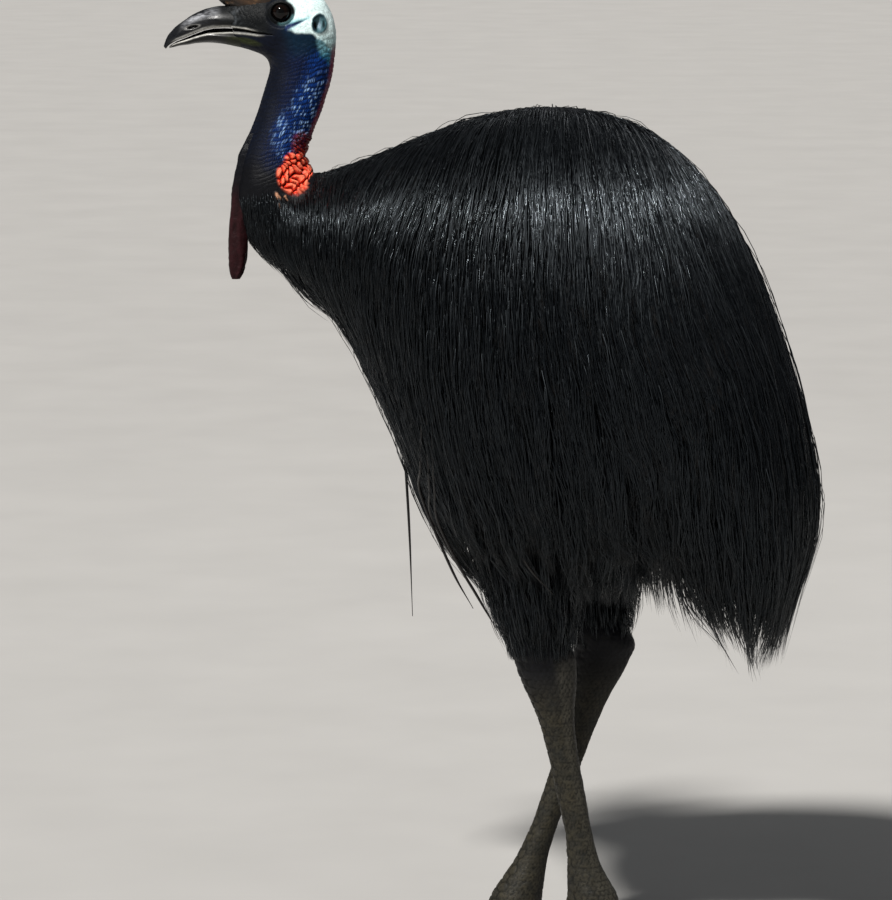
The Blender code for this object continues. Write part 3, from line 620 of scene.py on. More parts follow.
FOOT_SOLE = ((0.00, 0.30, 0.0270, 0.0250), (0.25, 0.22, 0.0335, 0.0305), (0.60, 0.08, 0.0350, 0.0320),
             (1.00, 0.00, 0.0330, 0.0300))
FOOT_ANKLE = ((0.026, 0.0260, 0.0240), (0.052, 0.0200, 0.0192))
TOES = {                                        # start ahead and outwards, heading in degrees, length,
    # width and height at the root and tip of the toe, number of joints, length of the claw
    "inner": (0.016, -0.019, -16, 0.088, 0.031, 0.024, 0.029, 0.022, 2, 0.108),
    "middle": (0.024, 0.001, 4, 0.142, 0.034, 0.024, 0.030, 0.020, 3, 0.038),
    "outer": (0.014, 0.020, 22, 0.104, 0.030, 0.021, 0.027, 0.019, 3, 0.032),
}
LEG_VOXEL = 0.0024
HORN_OLIVE = np.array((0.042, 0.036, 0.023))
HORN_GREY = np.array((0.015, 0.0155, 0.0142))


def level_rings(rows, around):
    """Level elliptical rings from rows of centre x, y, z, half length, half width."""
    turn = circle(around)
    rows = np.asarray(rows)
    return spread(rows[:, 0, None] + rows[:, 3, None] * np.cos(turn),
                  rows[:, 1, None] + rows[:, 4, None] * np.sin(turn), rows[:, 2, None])


def drumstick_rows(leg, inset):
    """Fine rings of the drumstick, a share of its feathers' depth inside their outline."""
    rows, depth = finely(DRUMSTICK, 40), finely(np.array(DRUMSTICK_COAT)[:, None], 40)[:, 0] * inset
    hock, sign = leg["hock"], leg["side"]
    return np.stack((hock[0] + rows[:, 1], sign * (hock[1] + rows[:, 4]), hock[2] + rows[:, 0],
                     rows[:, 2] - depth, rows[:, 3] - depth), -1)


def shank_axis(leg, share):
    """Middle of a leg at shares of the way from hock to toe joint."""
    hock, joint = np.array(leg["hock"]), np.array(leg["joint"])
    share = np.asarray(share)
    line = hock + share[..., None] * (joint - hock)
    line[..., 0] = hock[0] + np.maximum(share, -0.04) * (joint[0] - hock[0])
    line[..., 0] -= leg["bow"] * np.sin(math.pi * np.clip(share, 0, 1)) - 0.14 * np.minimum(share + 0.04, 0)
    line[..., 1] *= leg["side"]
    return line


def toe_line(toe, leg):
    """Where a toe starts, seen from above, with the directions along and across it."""
    ahead, outwards, heading = TOES[toe][:3]
    turn = math.radians(heading)
    base = np.array((leg["joint"][0] - ahead, leg["side"] * (leg["joint"][1] + outwards)))
    along = np.array((-math.cos(turn), leg["side"] * math.sin(turn)))
    return base, along, np.array((-along[1], along[0]))


def toe_rings(toe, leg):
    """Fine rings of a toe with swelling joints, standing on its pads."""
    length, wide, narrow, tall, low, phalanges = TOES[toe][3:9]
    base, along, across = toe_line(toe, leg)
    share = np.linspace(0, 1, 50)[:, None]
    turn = circle(32)[None]
    swell = np.cos(2 * math.pi * phalanges * share)
    half_width = (wide + share * (narrow - wide)) / 2 * (1 + 0.10 * swell)
    height = (tall + share * (low - tall)) * (1 + 0.05 * swell)
    middle = height * 0.46
    side = half_width * np.cos(turn)
    z = middle + np.where(np.sin(turn) > 0, height - middle, middle * 1.25) * np.sin(turn)
    sole = 0.0012 * (1 - np.clip(swell, -1, 1)) * 0.5
    z = GROUND + np.maximum(z, sole)
    flat = base + share[..., None] * along * length + side[..., None] * across
    return np.concatenate((flat, z[..., None]), -1)


def lower_leg_parts(leg):
    """Tubes that together make the leg from the drumstick to the toes."""
    parts = [level_rings(drumstick_rows(leg, 1.0), 72)]
    rows = finely(np.vstack(((-0.26, 0.030, 0.026), SHANK)), 66)
    centre = shank_axis(leg, rows[:, 0])
    parts.append(level_rings(np.column_stack((centre, rows[:, 1:])), 56))
    joint, sign = leg["joint"], leg["side"]
    over_ground = joint[2] - GROUND
    keys = [(joint[0] - ahead * over_ground, sign * joint[1], GROUND + share * over_ground, a, b)
            for share, ahead, a, b in FOOT_SOLE]
    keys += [(joint[0] + leg["slope"] * rise, sign * joint[1], joint[2] + rise, a, b)
             for rise, a, b in FOOT_ANKLE]
    last = SHANK[-1]
    keys.append((*shank_axis(leg, np.array(last[0] - 0.05)), last[1], last[2]))
    parts.append(level_rings(finely(keys, 50), 56))
    parts += [toe_rings(toe, leg) for toe in TOES]
    return parts


def remeshed(tubes, voxel, rounds):
    """One closed surface round several tubes, evenly meshed and smoothed: points and faces."""
    piece = linked("remesh", new_mesh("remesh", *merged(tubes)))
    modifier = piece.modifiers.new("remesh", "REMESH")
    modifier.mode = "VOXEL"
    modifier.voxel_size = voxel
    result = bpy.data.meshes.new_from_object(piece.evaluated_get(bpy.context.evaluated_depsgraph_get()))
    bpy.data.objects.remove(piece)
    co = read(result.vertices, "co", 3).astype(float) - SHIFT
    edges = read(result.edges, "vertices", 2, np.int32)
    count = np.bincount(edges.ravel(), minlength=len(co))[:, None]
    for _ in range(rounds):
        total = np.zeros_like(co)
        for axis in range(3):
            total[:, axis] = (np.bincount(edges[:, 0], co[edges[:, 1], axis], len(co))
                              + np.bincount(edges[:, 1], co[edges[:, 0], axis], len(co)))
        co = 0.5 * co + 0.5 * total / count
    loops = read(result.loops, "vertex_index", kind=np.int32)
    sizes = read(result.polygons, "loop_total", kind=np.int32)
    starts = np.cumsum(sizes) - sizes
    faces = [loops[starts[sizes == size][:, None] + np.arange(size)] for size in np.unique(sizes)]
    bpy.data.meshes.remove(result)
    return co, faces


def point_normals(points, faces):
    """Outward directions at the points of a mesh."""
    normal = np.zeros_like(points)
    for part in faces:
        corner = [points[part[:, i]] for i in range(part.shape[1])]
        face = np.cross(corner[1] - corner[0], corner[2] - corner[0])
        for i in range(part.shape[1]):
            for axis in range(3):
                normal[:, axis] += np.bincount(part[:, i], face[:, axis], len(points))
    return unit(normal)


def cells(across, along, wide, tall, seed=0.0):
    """Rows of staggered uneven cells: how far a place is from a cell's edge, and a number per cell."""
    first, second, mark = (np.full(across.shape, start) for start in (9.0, 9.0, 0.0))
    for step_row in (-1, 0, 1):
        row = np.floor(along / tall) + step_row
        stagger = np.mod(row, 2) * 0.5
        col0 = np.floor(across / wide - stagger)
        for step_col in (-1, 0, 1):
            col = col0 + step_col
            hash_a = np.mod(np.sin(row * 12.9898 + col * 78.233 + seed) * 43758.5453, 1.0) - 0.5
            hash_b = np.mod(np.sin(row * 39.346 + col * 11.135 + seed) * 24634.6345, 1.0) - 0.5
            da = across / wide - (col + 0.5 + stagger) + 0.26 * hash_a
            db = along / tall - (row + 0.5) + 0.26 * hash_b
            distance = np.hypot(da, db)
            closer = distance < first
            second = np.where(closer, first, np.minimum(second, distance))
            first = np.where(closer, distance, first)
            mark = np.where(closer, hash_a, mark)
    return second - first, mark


def plates(across, along, wide, tall, seed=0.0):
    """Rows of staggered horny plates: 0 in the grooves between them, 1 inside."""
    return ramp(cells(across, along, wide, tall, seed)[0], 0.03, 0.30)


def leg_skin(side):
    """Points, faces and colours of one leg from the drumstick to the toes."""
    leg = LEGS[side]
    points, faces = remeshed(lower_leg_parts(leg), LEG_VOXEL, 7)
    normal = point_normals(points, faces)
    hock, joint, sign = leg["hock"], leg["joint"], leg["side"]
    share = (hock[2] - points[:, 2]) / (hock[2] - joint[2])
    rise = points[:, 2] - GROUND
    centre = shank_axis(leg, share)
    across = (points[:, 1] - centre[:, 1]) * sign
    ahead = centre[:, 0] - points[:, 0]
    turn = np.arctan2(across, ahead)                 # 0 in front, growing outwards
    radius = 0.021
    front = fade(np.abs(turn), 0.75, 1.05)
    down = share * (hock[2] - joint[2])
    big = plates(turn * radius + 0.0055, down, 0.0125, 0.0105)
    small = plates(turn * 0.024, down, 0.0060, 0.0056, 3.0)
    shank = small + (big - small) * front
    on_toe, toe_cells, toe_top = (np.zeros(len(points)) for _ in range(3))
    for toe in TOES:
        base, along, crosswise = toe_line(toe, leg)
        length, wide = TOES[toe][3], TOES[toe][4]
        offset = points[:, :2] - base
        run, side_off = offset @ along, offset @ crosswise
        reach = ramp(run, 0.010, 0.030) * (run < length + 0.01) * (np.abs(side_off) < wide * 0.62) * (
            rise < TOES[toe][6] + 0.004)
        top = ramp(rise, 0.012, 0.019)
        bars = plates(side_off * 0.6, run, 0.030, 0.0066, 1.0)
        pads = plates(side_off, run, 0.0046, 0.0046, 7.0)
        cells = pads + (bars - pads) * top
        better = reach > on_toe
        toe_cells = np.where(better, cells, toe_cells)
        toe_top = np.where(better, top, toe_top)
        on_toe = np.maximum(on_toe, reach)
    cells = shank + (toe_cells - shank) * on_toe
    under_knee = ramp(-points[:, 2], -(hock[2] + 0.070), -(hock[2] + 0.030))    # below the feathers
    sole = ramp(rise, 0.0015, 0.006)
    plate_depth = (0.00065 + 0.0007 * front * (1 - on_toe) + 0.0005 * on_toe * toe_top) * sole * under_knee
    relief = (cells - 0.8) * plate_depth + noise(points, 0.010) * 0.0004 * under_knee * sole
    knuckles = bell(share, 0.02, 0.07) * np.cos(2 * turn) * 0.0012
    points = points + normal * (relief + knuckles)[:, None]
    points[:, 2] = np.maximum(points[:, 2], GROUND)

    mottle = noise(points, 0.012) * 0.5 + noise(points, 0.004) * 0.5
    colour = plain(HORN_GREY, points)
    blend(colour, HORN_OLIVE, 0.45 + 0.5 * mottle)
    blend(colour, HORN_OLIVE * 1.3, on_toe * 0.4 * cells * (1 - toe_top))
    blend(colour, INK * 1.8, ramp(points[:, 2] + 0.008 * mottle, hock[2] - 0.075, hock[2] + 0.020))
    rear = ramp(turn, 1.75, 2.15) * (1 - on_toe) * fade(points[:, 2], hock[2], hock[2] + 0.03)
    blend(colour, (0.058, 0.054, 0.043), rear * (0.50 + 0.2 * mottle))
    blend(colour, HORN_GREY * 0.30, (1 - cells) * 0.75 * under_knee)
    return points, faces, np.clip(colour, 0, 1), np.ones(len(points)) * (share > -0.06)


# One skin
def painted_mesh(name, points, faces, paint, dullness):
    """A closed mesh with a colour and a dullness at each point, which the looks read."""
    mesh = new_mesh(name, points, faces)
    store(mesh, "Paint", paint)
    store(mesh, "Dullness", dullness)
    return mesh


def mend(mesh):
    """Paints the points made where surfaces were joined, which come out white, like their neighbours."""
    count = len(mesh.vertices)
    paint = read(mesh.attributes["Paint"].data, "color", 4)[:, :3]
    values = np.column_stack((paint, read(mesh.attributes["Dullness"].data, "value")))
    edges = read(mesh.edges, "vertices", 2, np.int32)
    edges = np.vstack((edges, edges[:, ::-1]))
    lost = values[:, :3].sum(1) > 2.99
    while lost.any():
        use = edges[lost[edges[:, 0]] & ~lost[edges[:, 1]]]
        if not len(use):
            break
        near = np.bincount(use[:, 0], minlength=count)
        found = near > 0
        for column in range(4):
            total = np.bincount(use[:, 0], values[use[:, 1], column], count)
            values[found, column] = total[found] / near[found]
        lost &= ~found
    store(mesh, "Paint", values[:, :3])
    store(mesh, "Dullness", values[:, 3])


def make_skin(material):
    """Joins head, neck, trunk, wattles and legs into one closed surface."""
    skin = linked("skin", painted_mesh("skin", *body_skin()))
    extras = [painted_mesh(f"wattle_{sign}", *wattle_skin(sign)) for sign in (-1, 1)]
    extras += [painted_mesh(f"leg_{side}", *leg_skin(side)) for side in LEGS]
    helpers = [linked(mesh.name, mesh) for mesh in extras]
    for helper in helpers:
        joint = skin.modifiers.new(helper.name, "BOOLEAN")
        joint.operation, joint.solver, joint.object = "UNION", "MANIFOLD", helper
    joined = bpy.data.meshes.new_from_object(skin.evaluated_get(bpy.context.evaluated_depsgraph_get()))
    for item in (skin, *helpers):
        bpy.data.objects.remove(item)
    joined.name = "skin"
    mend(joined)
    joined.materials.clear()
    joined.shade_smooth()
    joined.set_sharp_from_angle(angle=math.radians(60))
    piece = new_piece("skin", joined, material)
    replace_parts(piece, "trunk", "tail", "neck_lower", "neck_middle", "neck_upper", "head",
                *(f"{part}_{side}" for part in ("ear", "wattle", "foot") for side in LEGS),
                *(f"leg_{side}_{part}" for part in ("drumstick", "shank") for side in LEGS),
                *(f"toe_{side}_{toe}" for side in LEGS for toe in TOES))


# Horn and eyes
CASQUE = np.array((                             # z, front x, rear x, half width
    (1.166, -0.400, -0.318, 0.0225), (1.181, -0.424, -0.306, 0.0255), (1.195, -0.431, -0.301, 0.0265),
    (1.214, -0.422, -0.296, 0.0250), (1.240, -0.408, -0.293, 0.0205), (1.266, -0.393, -0.294, 0.0160),
    (1.289, -0.377, -0.299, 0.0125), (1.306, -0.362, -0.308, 0.0100), (1.316, -0.350, -0.318, 0.0070),
))
CASQUE_LEAN = 0.006
BILL_UPPER = np.array((                         # x, upper edge z, lower edge z, half width
    (-0.4952, 1.1305, 1.1262, 0.0012), (-0.4925, 1.1378, 1.1246, 0.0036), (-0.4885, 1.1440, 1.1290, 0.0060),
    (-0.4800, 1.1528, 1.1342, 0.0088), (-0.4700, 1.1602, 1.1380, 0.0110), (-0.4580, 1.1680, 1.1430, 0.0134),
    (-0.4450, 1.1738, 1.1477, 0.0158), (-0.4330, 1.1770, 1.1502, 0.0180), (-0.4200, 1.1785, 1.1509, 0.0198),
    (-0.4000, 1.1790, 1.1500, 0.0215),
))
BILL_LOWER = np.array((
    (-0.4885, 1.1282, 1.1250, 0.0018), (-0.4840, 1.1313, 1.1262, 0.0048), (-0.4760, 1.1342, 1.1280, 0.0074),
    (-0.4660, 1.1374, 1.1292, 0.0096), (-0.4550, 1.1412, 1.1312, 0.0115), (-0.4400, 1.1453, 1.1320, 0.0142),
    (-0.4250, 1.1466, 1.1308, 0.0165), (-0.4100, 1.1471, 1.1282, 0.0180), (-0.3950, 1.1468, 1.1250, 0.0178),
))
NOSTRIL = (-0.4592, 1.1524, 0.0072, 0.0024)     # centre x, z and half sizes
HORN_END = (-0.438, -0.412)                     # where the bill turns from horn into skin
QUILL_RADIUS = 0.0018
QUILL_DEPTH = -0.014                            # how deep the quills start under the plumage


def horn_piece(name, grid, colour, material, slot, *nodes, dull=0.0):
    """A closed tube as a piece of its own, coloured by points and dull where it is told."""
    dull = (dull + 0.0 * colour[..., 0]).ravel()
    dull = np.append(dull, (dull[0], dull[-1]))
    paint = np.clip(capped(colour), 0, 1)
    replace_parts(new_piece(name, painted_mesh(name, *tube(grid), paint, dull), material), *nodes)


def bill_grid(table, keel, rings, around):
    """One half of the bill, squarer towards the edge that meets the other half."""
    rows = finely(table, rings)
    turn = circle(around)
    rise, side = np.cos(turn)[None], np.sin(turn)[None]
    square = 0.38 * fade(rows[:, 0], -0.440, -0.415)[:, None] * (rise * keel < 0)
    side = np.sign(side) * np.abs(side) ** (1 - square)
    middle = (rows[:, 1] + rows[:, 2])[:, None] / 2
    half = (rows[:, 1] - rows[:, 2])[:, None] / 2
    grid = spread(rows[:, 0, None], rows[:, 3, None] * side * (1 - keel * rise), middle + half * rise)
    return grid, np.broadcast_to(rise, side.shape), side


def make_bill(material):
    """Both halves of the bill, with nostrils, pale cutting edges and the tongue between them."""
    grid, rise, side = bill_grid(BILL_UPPER, 0.35, 124, 104)
    normal = surface_normals(grid)
    x, z = grid[..., 0], grid[..., 2]
    edge = np.interp(x, BILL_UPPER[:, 0], BILL_UPPER[:, 2])
    over_edge = z - edge
    lateral = ramp(np.abs(side), 0.25, 0.6)
    slope = 0.17 * (x - NOSTRIL[0])
    opening = np.hypot((x - NOSTRIL[0]) / NOSTRIL[2], (z - NOSTRIL[1] - slope) / NOSTRIL[3])
    groove = np.hypot((x - NOSTRIL[0] - 0.010) / 0.026, (z - NOSTRIL[1] - slope - 0.0006) / 0.0052)
    relief = -0.0003 + noise(grid, 0.006) * 0.00018
    relief -= lateral * fade(groove, 0.45, 1.15) * 0.0009
    relief -= lateral * fade(opening, 0.55, 1.05) * 0.0034
    relief += lateral * bell(over_edge, 0.0021, 0.0013) * 0.0006
    relief -= lateral * bell(over_edge, 0.0053, 0.0014) * 0.0005 * ramp(x, -0.486, -0.470)
    grain = noise(grid * (0.35, 1, 1), 0.0016)
    grid = grid + normal * (relief + grain * 0.00008)[..., None]
    under = ramp(-rise, 0.92, 0.98)
    colour = plain((0.0060, 0.0065, 0.0080), grid)
    blotches = ramp(noise(grid * (0.4, 1, 1), 0.010) + 0.35 * grain, -0.65, 0.30)
    # Pale grey blotches on the upper flank of the horn are a painted highlight. The same blotches at 0.20
    # over the whole horn are its uneven grey tone.
    flank = bell(rise, 0.55, 0.30) * ramp(x, -0.478, -0.458) * fade(x, -0.434, -0.420)
    blend(colour, (0.460, 0.470, 0.500), blotches * flank * 0.90)
    blend(colour, (0.040, 0.041, 0.041), blotches * 0.20)
    tomium = lateral * bell(over_edge, 0.0021, 0.0012) * ramp(x, -0.488, -0.474)
    blend(colour, (0.620, 0.610, 0.570), tomium * (0.80 + 0.30 * grain))
    rim = lateral * bell(opening, 1.25, 0.22)
    blend(colour, (0.240, 0.235, 0.220), rim * 0.5)
    # Black inside the nostril: painted shade in the hole.
    blend(colour, INK * 0.5, lateral * fade(opening, 0.75, 1.05))
    # Black on the underside of the upper horn, inside the gape: painted shade.
    blend(colour, INK, under)
    near_skin = ramp(x, *HORN_END)
    blend(colour, FACE_GREY, near_skin * ramp(over_edge, 0.0040, 0.0065))
    horn_piece("bill_upper_horn", grid, colour, material, "bill_horn", "bill_upper", dull=near_skin)

    grid, rise, side = bill_grid(BILL_LOWER, -0.20, 110, 92)
    normal = surface_normals(grid)
    x, z = grid[..., 0], grid[..., 2]
    edge = np.interp(x, BILL_LOWER[:, 0], BILL_LOWER[:, 1])
    lateral = ramp(np.abs(side), 0.25, 0.6)
    grain = noise(grid * (0.35, 1, 1), 0.0016)
    rim = lateral * bell(edge - z, 0.0016, 0.0011)
    grid = grid + normal * (rim * 0.0005 - 0.0003 + grain * 0.00008 + noise(grid, 0.007) * 0.00015)[..., None]
    colour = plain((0.0055, 0.0055, 0.0060), grid)
    blend(colour, (0.560, 0.550, 0.510), rim * (0.75 + 0.35 * grain))
    blend(colour, OLIVE * 0.5, ramp(x, -0.425, -0.408) * ramp(edge - z, 0.004, 0.008) * 0.8)
    tongue = ramp(rise, 0.92, 0.97) * ramp(x, -0.4865, -0.478)
    gape = np.interp(x, BILL_UPPER[:, 0], BILL_UPPER[:, 2]) - edge
    grid[..., 2] += tongue * np.maximum(gape - 0.0004, 0.0)
    # Black on the top of the lower horn and the tongue, inside the gape: painted shade.
    blend(colour, INK, ramp(rise, 0.84, 0.90))
    horn_piece("bill_lower_horn", grid, colour, material, "bill_horn", "bill_lower",
               dull=ramp(x, *HORN_END))


def make_casque(material):
    """The tall thin crest of the head, with growth lines, grain and a chipped front edge."""
    rings, around = 150, 112
    rows = finely(CASQUE, rings)
    turn = circle(around)
    rise = (rows[:, 0] - CASQUE[0, 0]) / (CASQUE[-1, 0] - CASQUE[0, 0])
    ahead = np.cos(turn)[None]                       # 1 at the rear, -1 at the front
    keel = 0.42 * ramp(-ahead, 0.2, 1.0) * ramp(rise, 0.12, 0.45)[:, None]
    middle, half = ((rows[:, 1] + rows[:, 2]) / 2)[:, None], ((rows[:, 2] - rows[:, 1]) / 2)[:, None]
    grid = spread(middle + half * ahead,
                  -CASQUE_LEAN * rise[:, None] + rows[:, 3, None] * np.sin(turn)[None] * (1 - keel),
                  rows[:, 0, None])
    normal = surface_normals(grid)
    growth = 0.5 + 0.5 * np.cos(2 * math.pi * (grid[..., 2] + 0.35 * grid[..., 0]) / 0.0105
                                + 2.4 * noise(grid, 0.03))
    grain = noise(grid * (1, 1, 0.22), 0.0032)
    relief = -0.0008 + noise(grid, 0.024) * 0.0013 + noise(grid, 0.009) * 0.0005
    relief += grain * 0.00025 - growth ** 4 * 0.0004
    chips = ramp(noise(grid, 0.0065), 0.42, 0.75) * ramp(-ahead, 0.55, 0.95)
    relief -= chips * 0.0011
    grid = grid + normal * relief[..., None]
    dark, tan = np.array(((0.009, 0.007, 0.006), (0.170, 0.095, 0.045)))
    colour = plain((0.070, 0.034, 0.014), grid)
    blend(colour, tan, ramp(grain + 0.6 * noise(grid, 0.02), 0.0, 0.9) * 0.6)
    blend(colour, dark, ramp(noise(grid * (1, 1, 0.5), 0.016), -0.2, 0.5) * 0.75)
    foot = fade(grid[..., 2], 1.186, 1.204) * ramp(-ahead, 0.45, 0.9)
    blend(colour, dark * 0.6, foot)
    blend(colour, dark, ramp(np.abs(ahead), 0.93, 1.0) * 0.55)
    blend(colour, tan * 1.2, chips * 0.6)
    blend(colour, dark, growth ** 4 * 0.35)
    horn_piece("casque_horn", grid, colour, material, "casque_horn", "casque")


def make_claws(material):
    """A claw for each toe, tapering to a blunt point that touches the ground."""
    turn = circle(28)
    for side, leg in LEGS.items():
        for toe in TOES:
            length, _, narrow, _, low, _, claw_length = TOES[toe][3:]
            base, along, across = toe_line(toe, leg)
            share = np.linspace(-0.06, 1.0, 40)
            span = np.clip(share, 0, 1)
            height = low / 2 * (1 - 0.55 * share - 0.25 * share * np.abs(share)) + 0.0012
            half_width = 0.68 * narrow / 2 * (1 - span) ** 0.75 + 0.0008
            half_height = np.minimum(1.2 * half_width, height - 0.0012)
            flat = base + along * (length + claw_length * share)[:, None]
            ridge = 1 - 0.25 * ramp(np.sin(turn), 0.3, 1.0)
            flat = flat[:, None] + across * (half_width[:, None] * np.cos(turn) * ridge)[..., None]
            grid = spread(flat[..., 0], flat[..., 1],
                          GROUND + height[:, None] + half_height[:, None] * np.sin(turn))
            grain = noise(grid * (0.3, 0.3, 1), 0.0016)
            grid += surface_normals(grid) * (grain * 0.00010 - 0.00005)[..., None]
            grid[..., 2] = np.maximum(grid[..., 2], GROUND + 0.0008)
            colour = plain((0.030, 0.027, 0.024), grid)
            blend(colour, (0.150, 0.120, 0.080), ramp(share, 0.45, 1.0)[:, None] * (0.6 + 0.4 * grain))
            blend(colour, (0.100, 0.090, 0.075), ramp(grain, 0.1, 0.8) * 0.5)
            horn_piece(f"claw_{side}_{toe}_horn", grid, colour, material, "claw_horn", f"claw_{side}_{toe}")


def make_eyes(material):
    """Balls with a slightly bulging cornea; colour runs from the pupil through the iris to the rim."""
    polar, turn = np.linspace(0.0, math.pi, 72)[1:-1], circle(96)
    gaze = unit(np.array((-0.10, 0.985, 0.02)))
    first = unit(np.cross(gaze, (0, 0, 1.0)))
    second = np.cross(gaze, first)
    for side, sign in SIDES.items():
        bulge = 0.0006 * fade(polar, 0.25, 0.75) - 0.0007
        radius = (EYE_RADIUS + bulge)[:, None, None]
        grid = EYE + radius * (np.cos(polar)[:, None, None] * gaze + np.sin(polar)[:, None, None] * (
            np.cos(turn)[None, :, None] * first + np.sin(turn)[None, :, None] * second))
        spokes = noise(spread(np.cos(turn) * 2, np.sin(turn) * 2, 0), 0.22)[None]
        angle = polar[:, None] + 0 * turn[None]
        colour = plain((0.0030, 0.0015, 0.0012), grid)
        blend(colour, (0.0085, 0.0036, 0.0022), ramp(spokes, -0.2, 0.6) * bell(angle, 0.62, 0.16))
        blend(colour, (0.0015, 0.0012, 0.0011), ramp(angle, 0.66, 0.86))
        blend(colour, (0.002, 0.002, 0.002), fade(angle, 0.36, 0.40))
        grid[..., 1] *= sign
        horn_piece(f"eye_{side}_ball", grid[:, ::sign], colour[:, ::sign], material, "eye", f"eye_{side}")


# Wing quills: start and end of the run on the trunk's side (section step, degrees), then middle and
# tip of the free part as x, distance from the midline and z. The first ones of a wing show.
HIND_QUILLS = (
    ((16.26, 111), (17.50, 125), (-0.0480, 0.183, 0.5050), (-0.0120, 0.182, 0.4620)),
    ((16.28, 109), (17.80, 117), (-0.0060, 0.200, 0.5330), (0.0300, 0.198, 0.4900)),
)
WING_QUILLS = {
    "left": (((16.20, 114), (16.74, 160), (-0.1375, 0.115, 0.4875), (-0.1103, 0.120, 0.4380)),
             ((16.16, 113), (17.02, 160), (-0.1042, 0.112, 0.4505), (-0.0800, 0.118, 0.4095)),
             ((16.23, 112), (17.08, 156), (-0.1200, 0.124, 0.4790), (-0.1003, 0.128, 0.4467)),
             *HIND_QUILLS),
    "right": (((16.14, 114), (16.02, 141), (-0.1922, 0.132, 0.5150), (-0.1872, 0.128, 0.3855)),
              ((16.17, 113), (16.80, 133), (-0.1050, 0.170, 0.5450), (-0.0750, 0.164, 0.4950)),
              ((16.23, 112), (17.10, 130), (-0.0800, 0.178, 0.5300), (-0.0500, 0.172, 0.4750)),
              *HIND_QUILLS),
}
SHOWING = {"left": 3, "right": 1}               # how many quills of each wing hang free of the coat
HIDDEN_INSET = 0.024                            # how far the ends of the others are drawn inwards


def coat_point(step, degrees, lift):
    """Point on the outside of the plumage, at an angle on a section made wider by the lift."""
    rows = spline(COAT, np.array([step]))
    rows[:, 4] += lift
    return section_points(rows, np.radians([degrees]))[0]


def make_quills(material):
    """The five long bare quills of each small wing, one closed tube each, in one piece a side."""
    share, turn = np.linspace(0, 1, 60), circle(12)
    radius = QUILL_RADIUS * (1 - 0.75 * ramp(share, 0.80, 1.0))
    for side, sign in SIDES.items():
        grids, paint = [], []
        for number, (start, stop, middle, tip) in enumerate(WING_QUILLS[side]):
            free = number < SHOWING[side]
            route = [coat_point(*(a + part * (b - a) for a, b in zip(start, stop)),
                                QUILL_DEPTH + 0.012 * part * free) for part in (0, 0.25, 0.5, 0.75, 1)]
            route += [np.array(point) - (0, (not free) * HIDDEN_INSET, 0) for point in (middle, tip)]
            line = finely(np.array(route), 60) * (1, sign, 1)
            ahead = unit(np.gradient(line, axis=0))
            across = unit(np.cross(ahead, (1.0, 0.0, 0.0)))
            third = np.cross(ahead, across)
            grid = line[:, None] + radius[:, None, None] * (np.cos(turn)[None, :, None] * across[:, None]
                                                            + np.sin(turn)[None, :, None] * third[:, None])
            colour = plain((0.0022, 0.0020, 0.0022), grid)
            blend(colour, (0.0090, 0.0070, 0.0055), (share ** 3)[:, None] * 0.5)
            grids.append(grid)
            paint.append(capped(colour))
        paint = np.vstack(paint)
        mesh = painted_mesh(f"wing_quills_{side}", *merged(grids), paint, np.zeros(len(paint)))
        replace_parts(new_piece(f"wing_quills_{side}", mesh, material), f"wing_{side}")


# Coat
STRANDS = 38500
LEG_STRANDS = 4000
LEG_NODES = 5
SUBSTEPS = 30
LIE = np.array((                                # x, z and lean from upright in degrees, rearwards positive
    (-0.385, 0.860, 22), (-0.330, 0.930, 6), (-0.200, 0.945, -20), (-0.105, 0.955, -13), (-0.125, 0.843, 0),
    (-0.012, 0.907, 0), (0.084, 0.864, 0), (0.127, 0.868, 5), (0.150, 0.899, 20), (0.206, 0.843, 30),
    (0.232, 0.774, 34), (0.111, 0.756, 15), (0.141, 0.774, 27), (0.002, 0.673, 10), (0.250, 0.696, 17),
    (0.184, 0.661, 2), (0.271, 0.595, 8), (0.290, 0.450, 6), (-0.150, 0.620, 10), (0.080, 0.480, 3),
))
LENGTHS = np.array((                            # skin step, length of the feathers rooted there
    (11.2, 0.022), (12.0, 0.040), (13.0, 0.058), (14.0, 0.085), (15.0, 0.120), (16.0, 0.155),
    (17.0, 0.185), (18.0, 0.215), (19.0, 0.255), (20.0, 0.300), (21.0, 0.350), (23.0, 0.370),
))
COAT_CELL = 0.012                               # side of a cell of the depth grid
CLUMPS = 1700                                   # locks that feathers gather into
STRAYS = 0.02                                   # share of feathers that stand off the others
STRAY_LAYER = -0.003                            # their depth under the outline: a little outside it
TWIST = 0.60                                    # spread of the feathers' turn about their length
START_RISE = 0.26                               # how steeply the feathers leave the skin
PATCH_SIZE = 0.003                              # side of a feather's patch on the OFBake map


def coat_outline():
    """Surface of the outside of the plumage, from the middle of the neck to the hem."""
    return section_points(spline(COAT, np.linspace(8.0, 25.0, 150))[:, None], circle(72)[None])


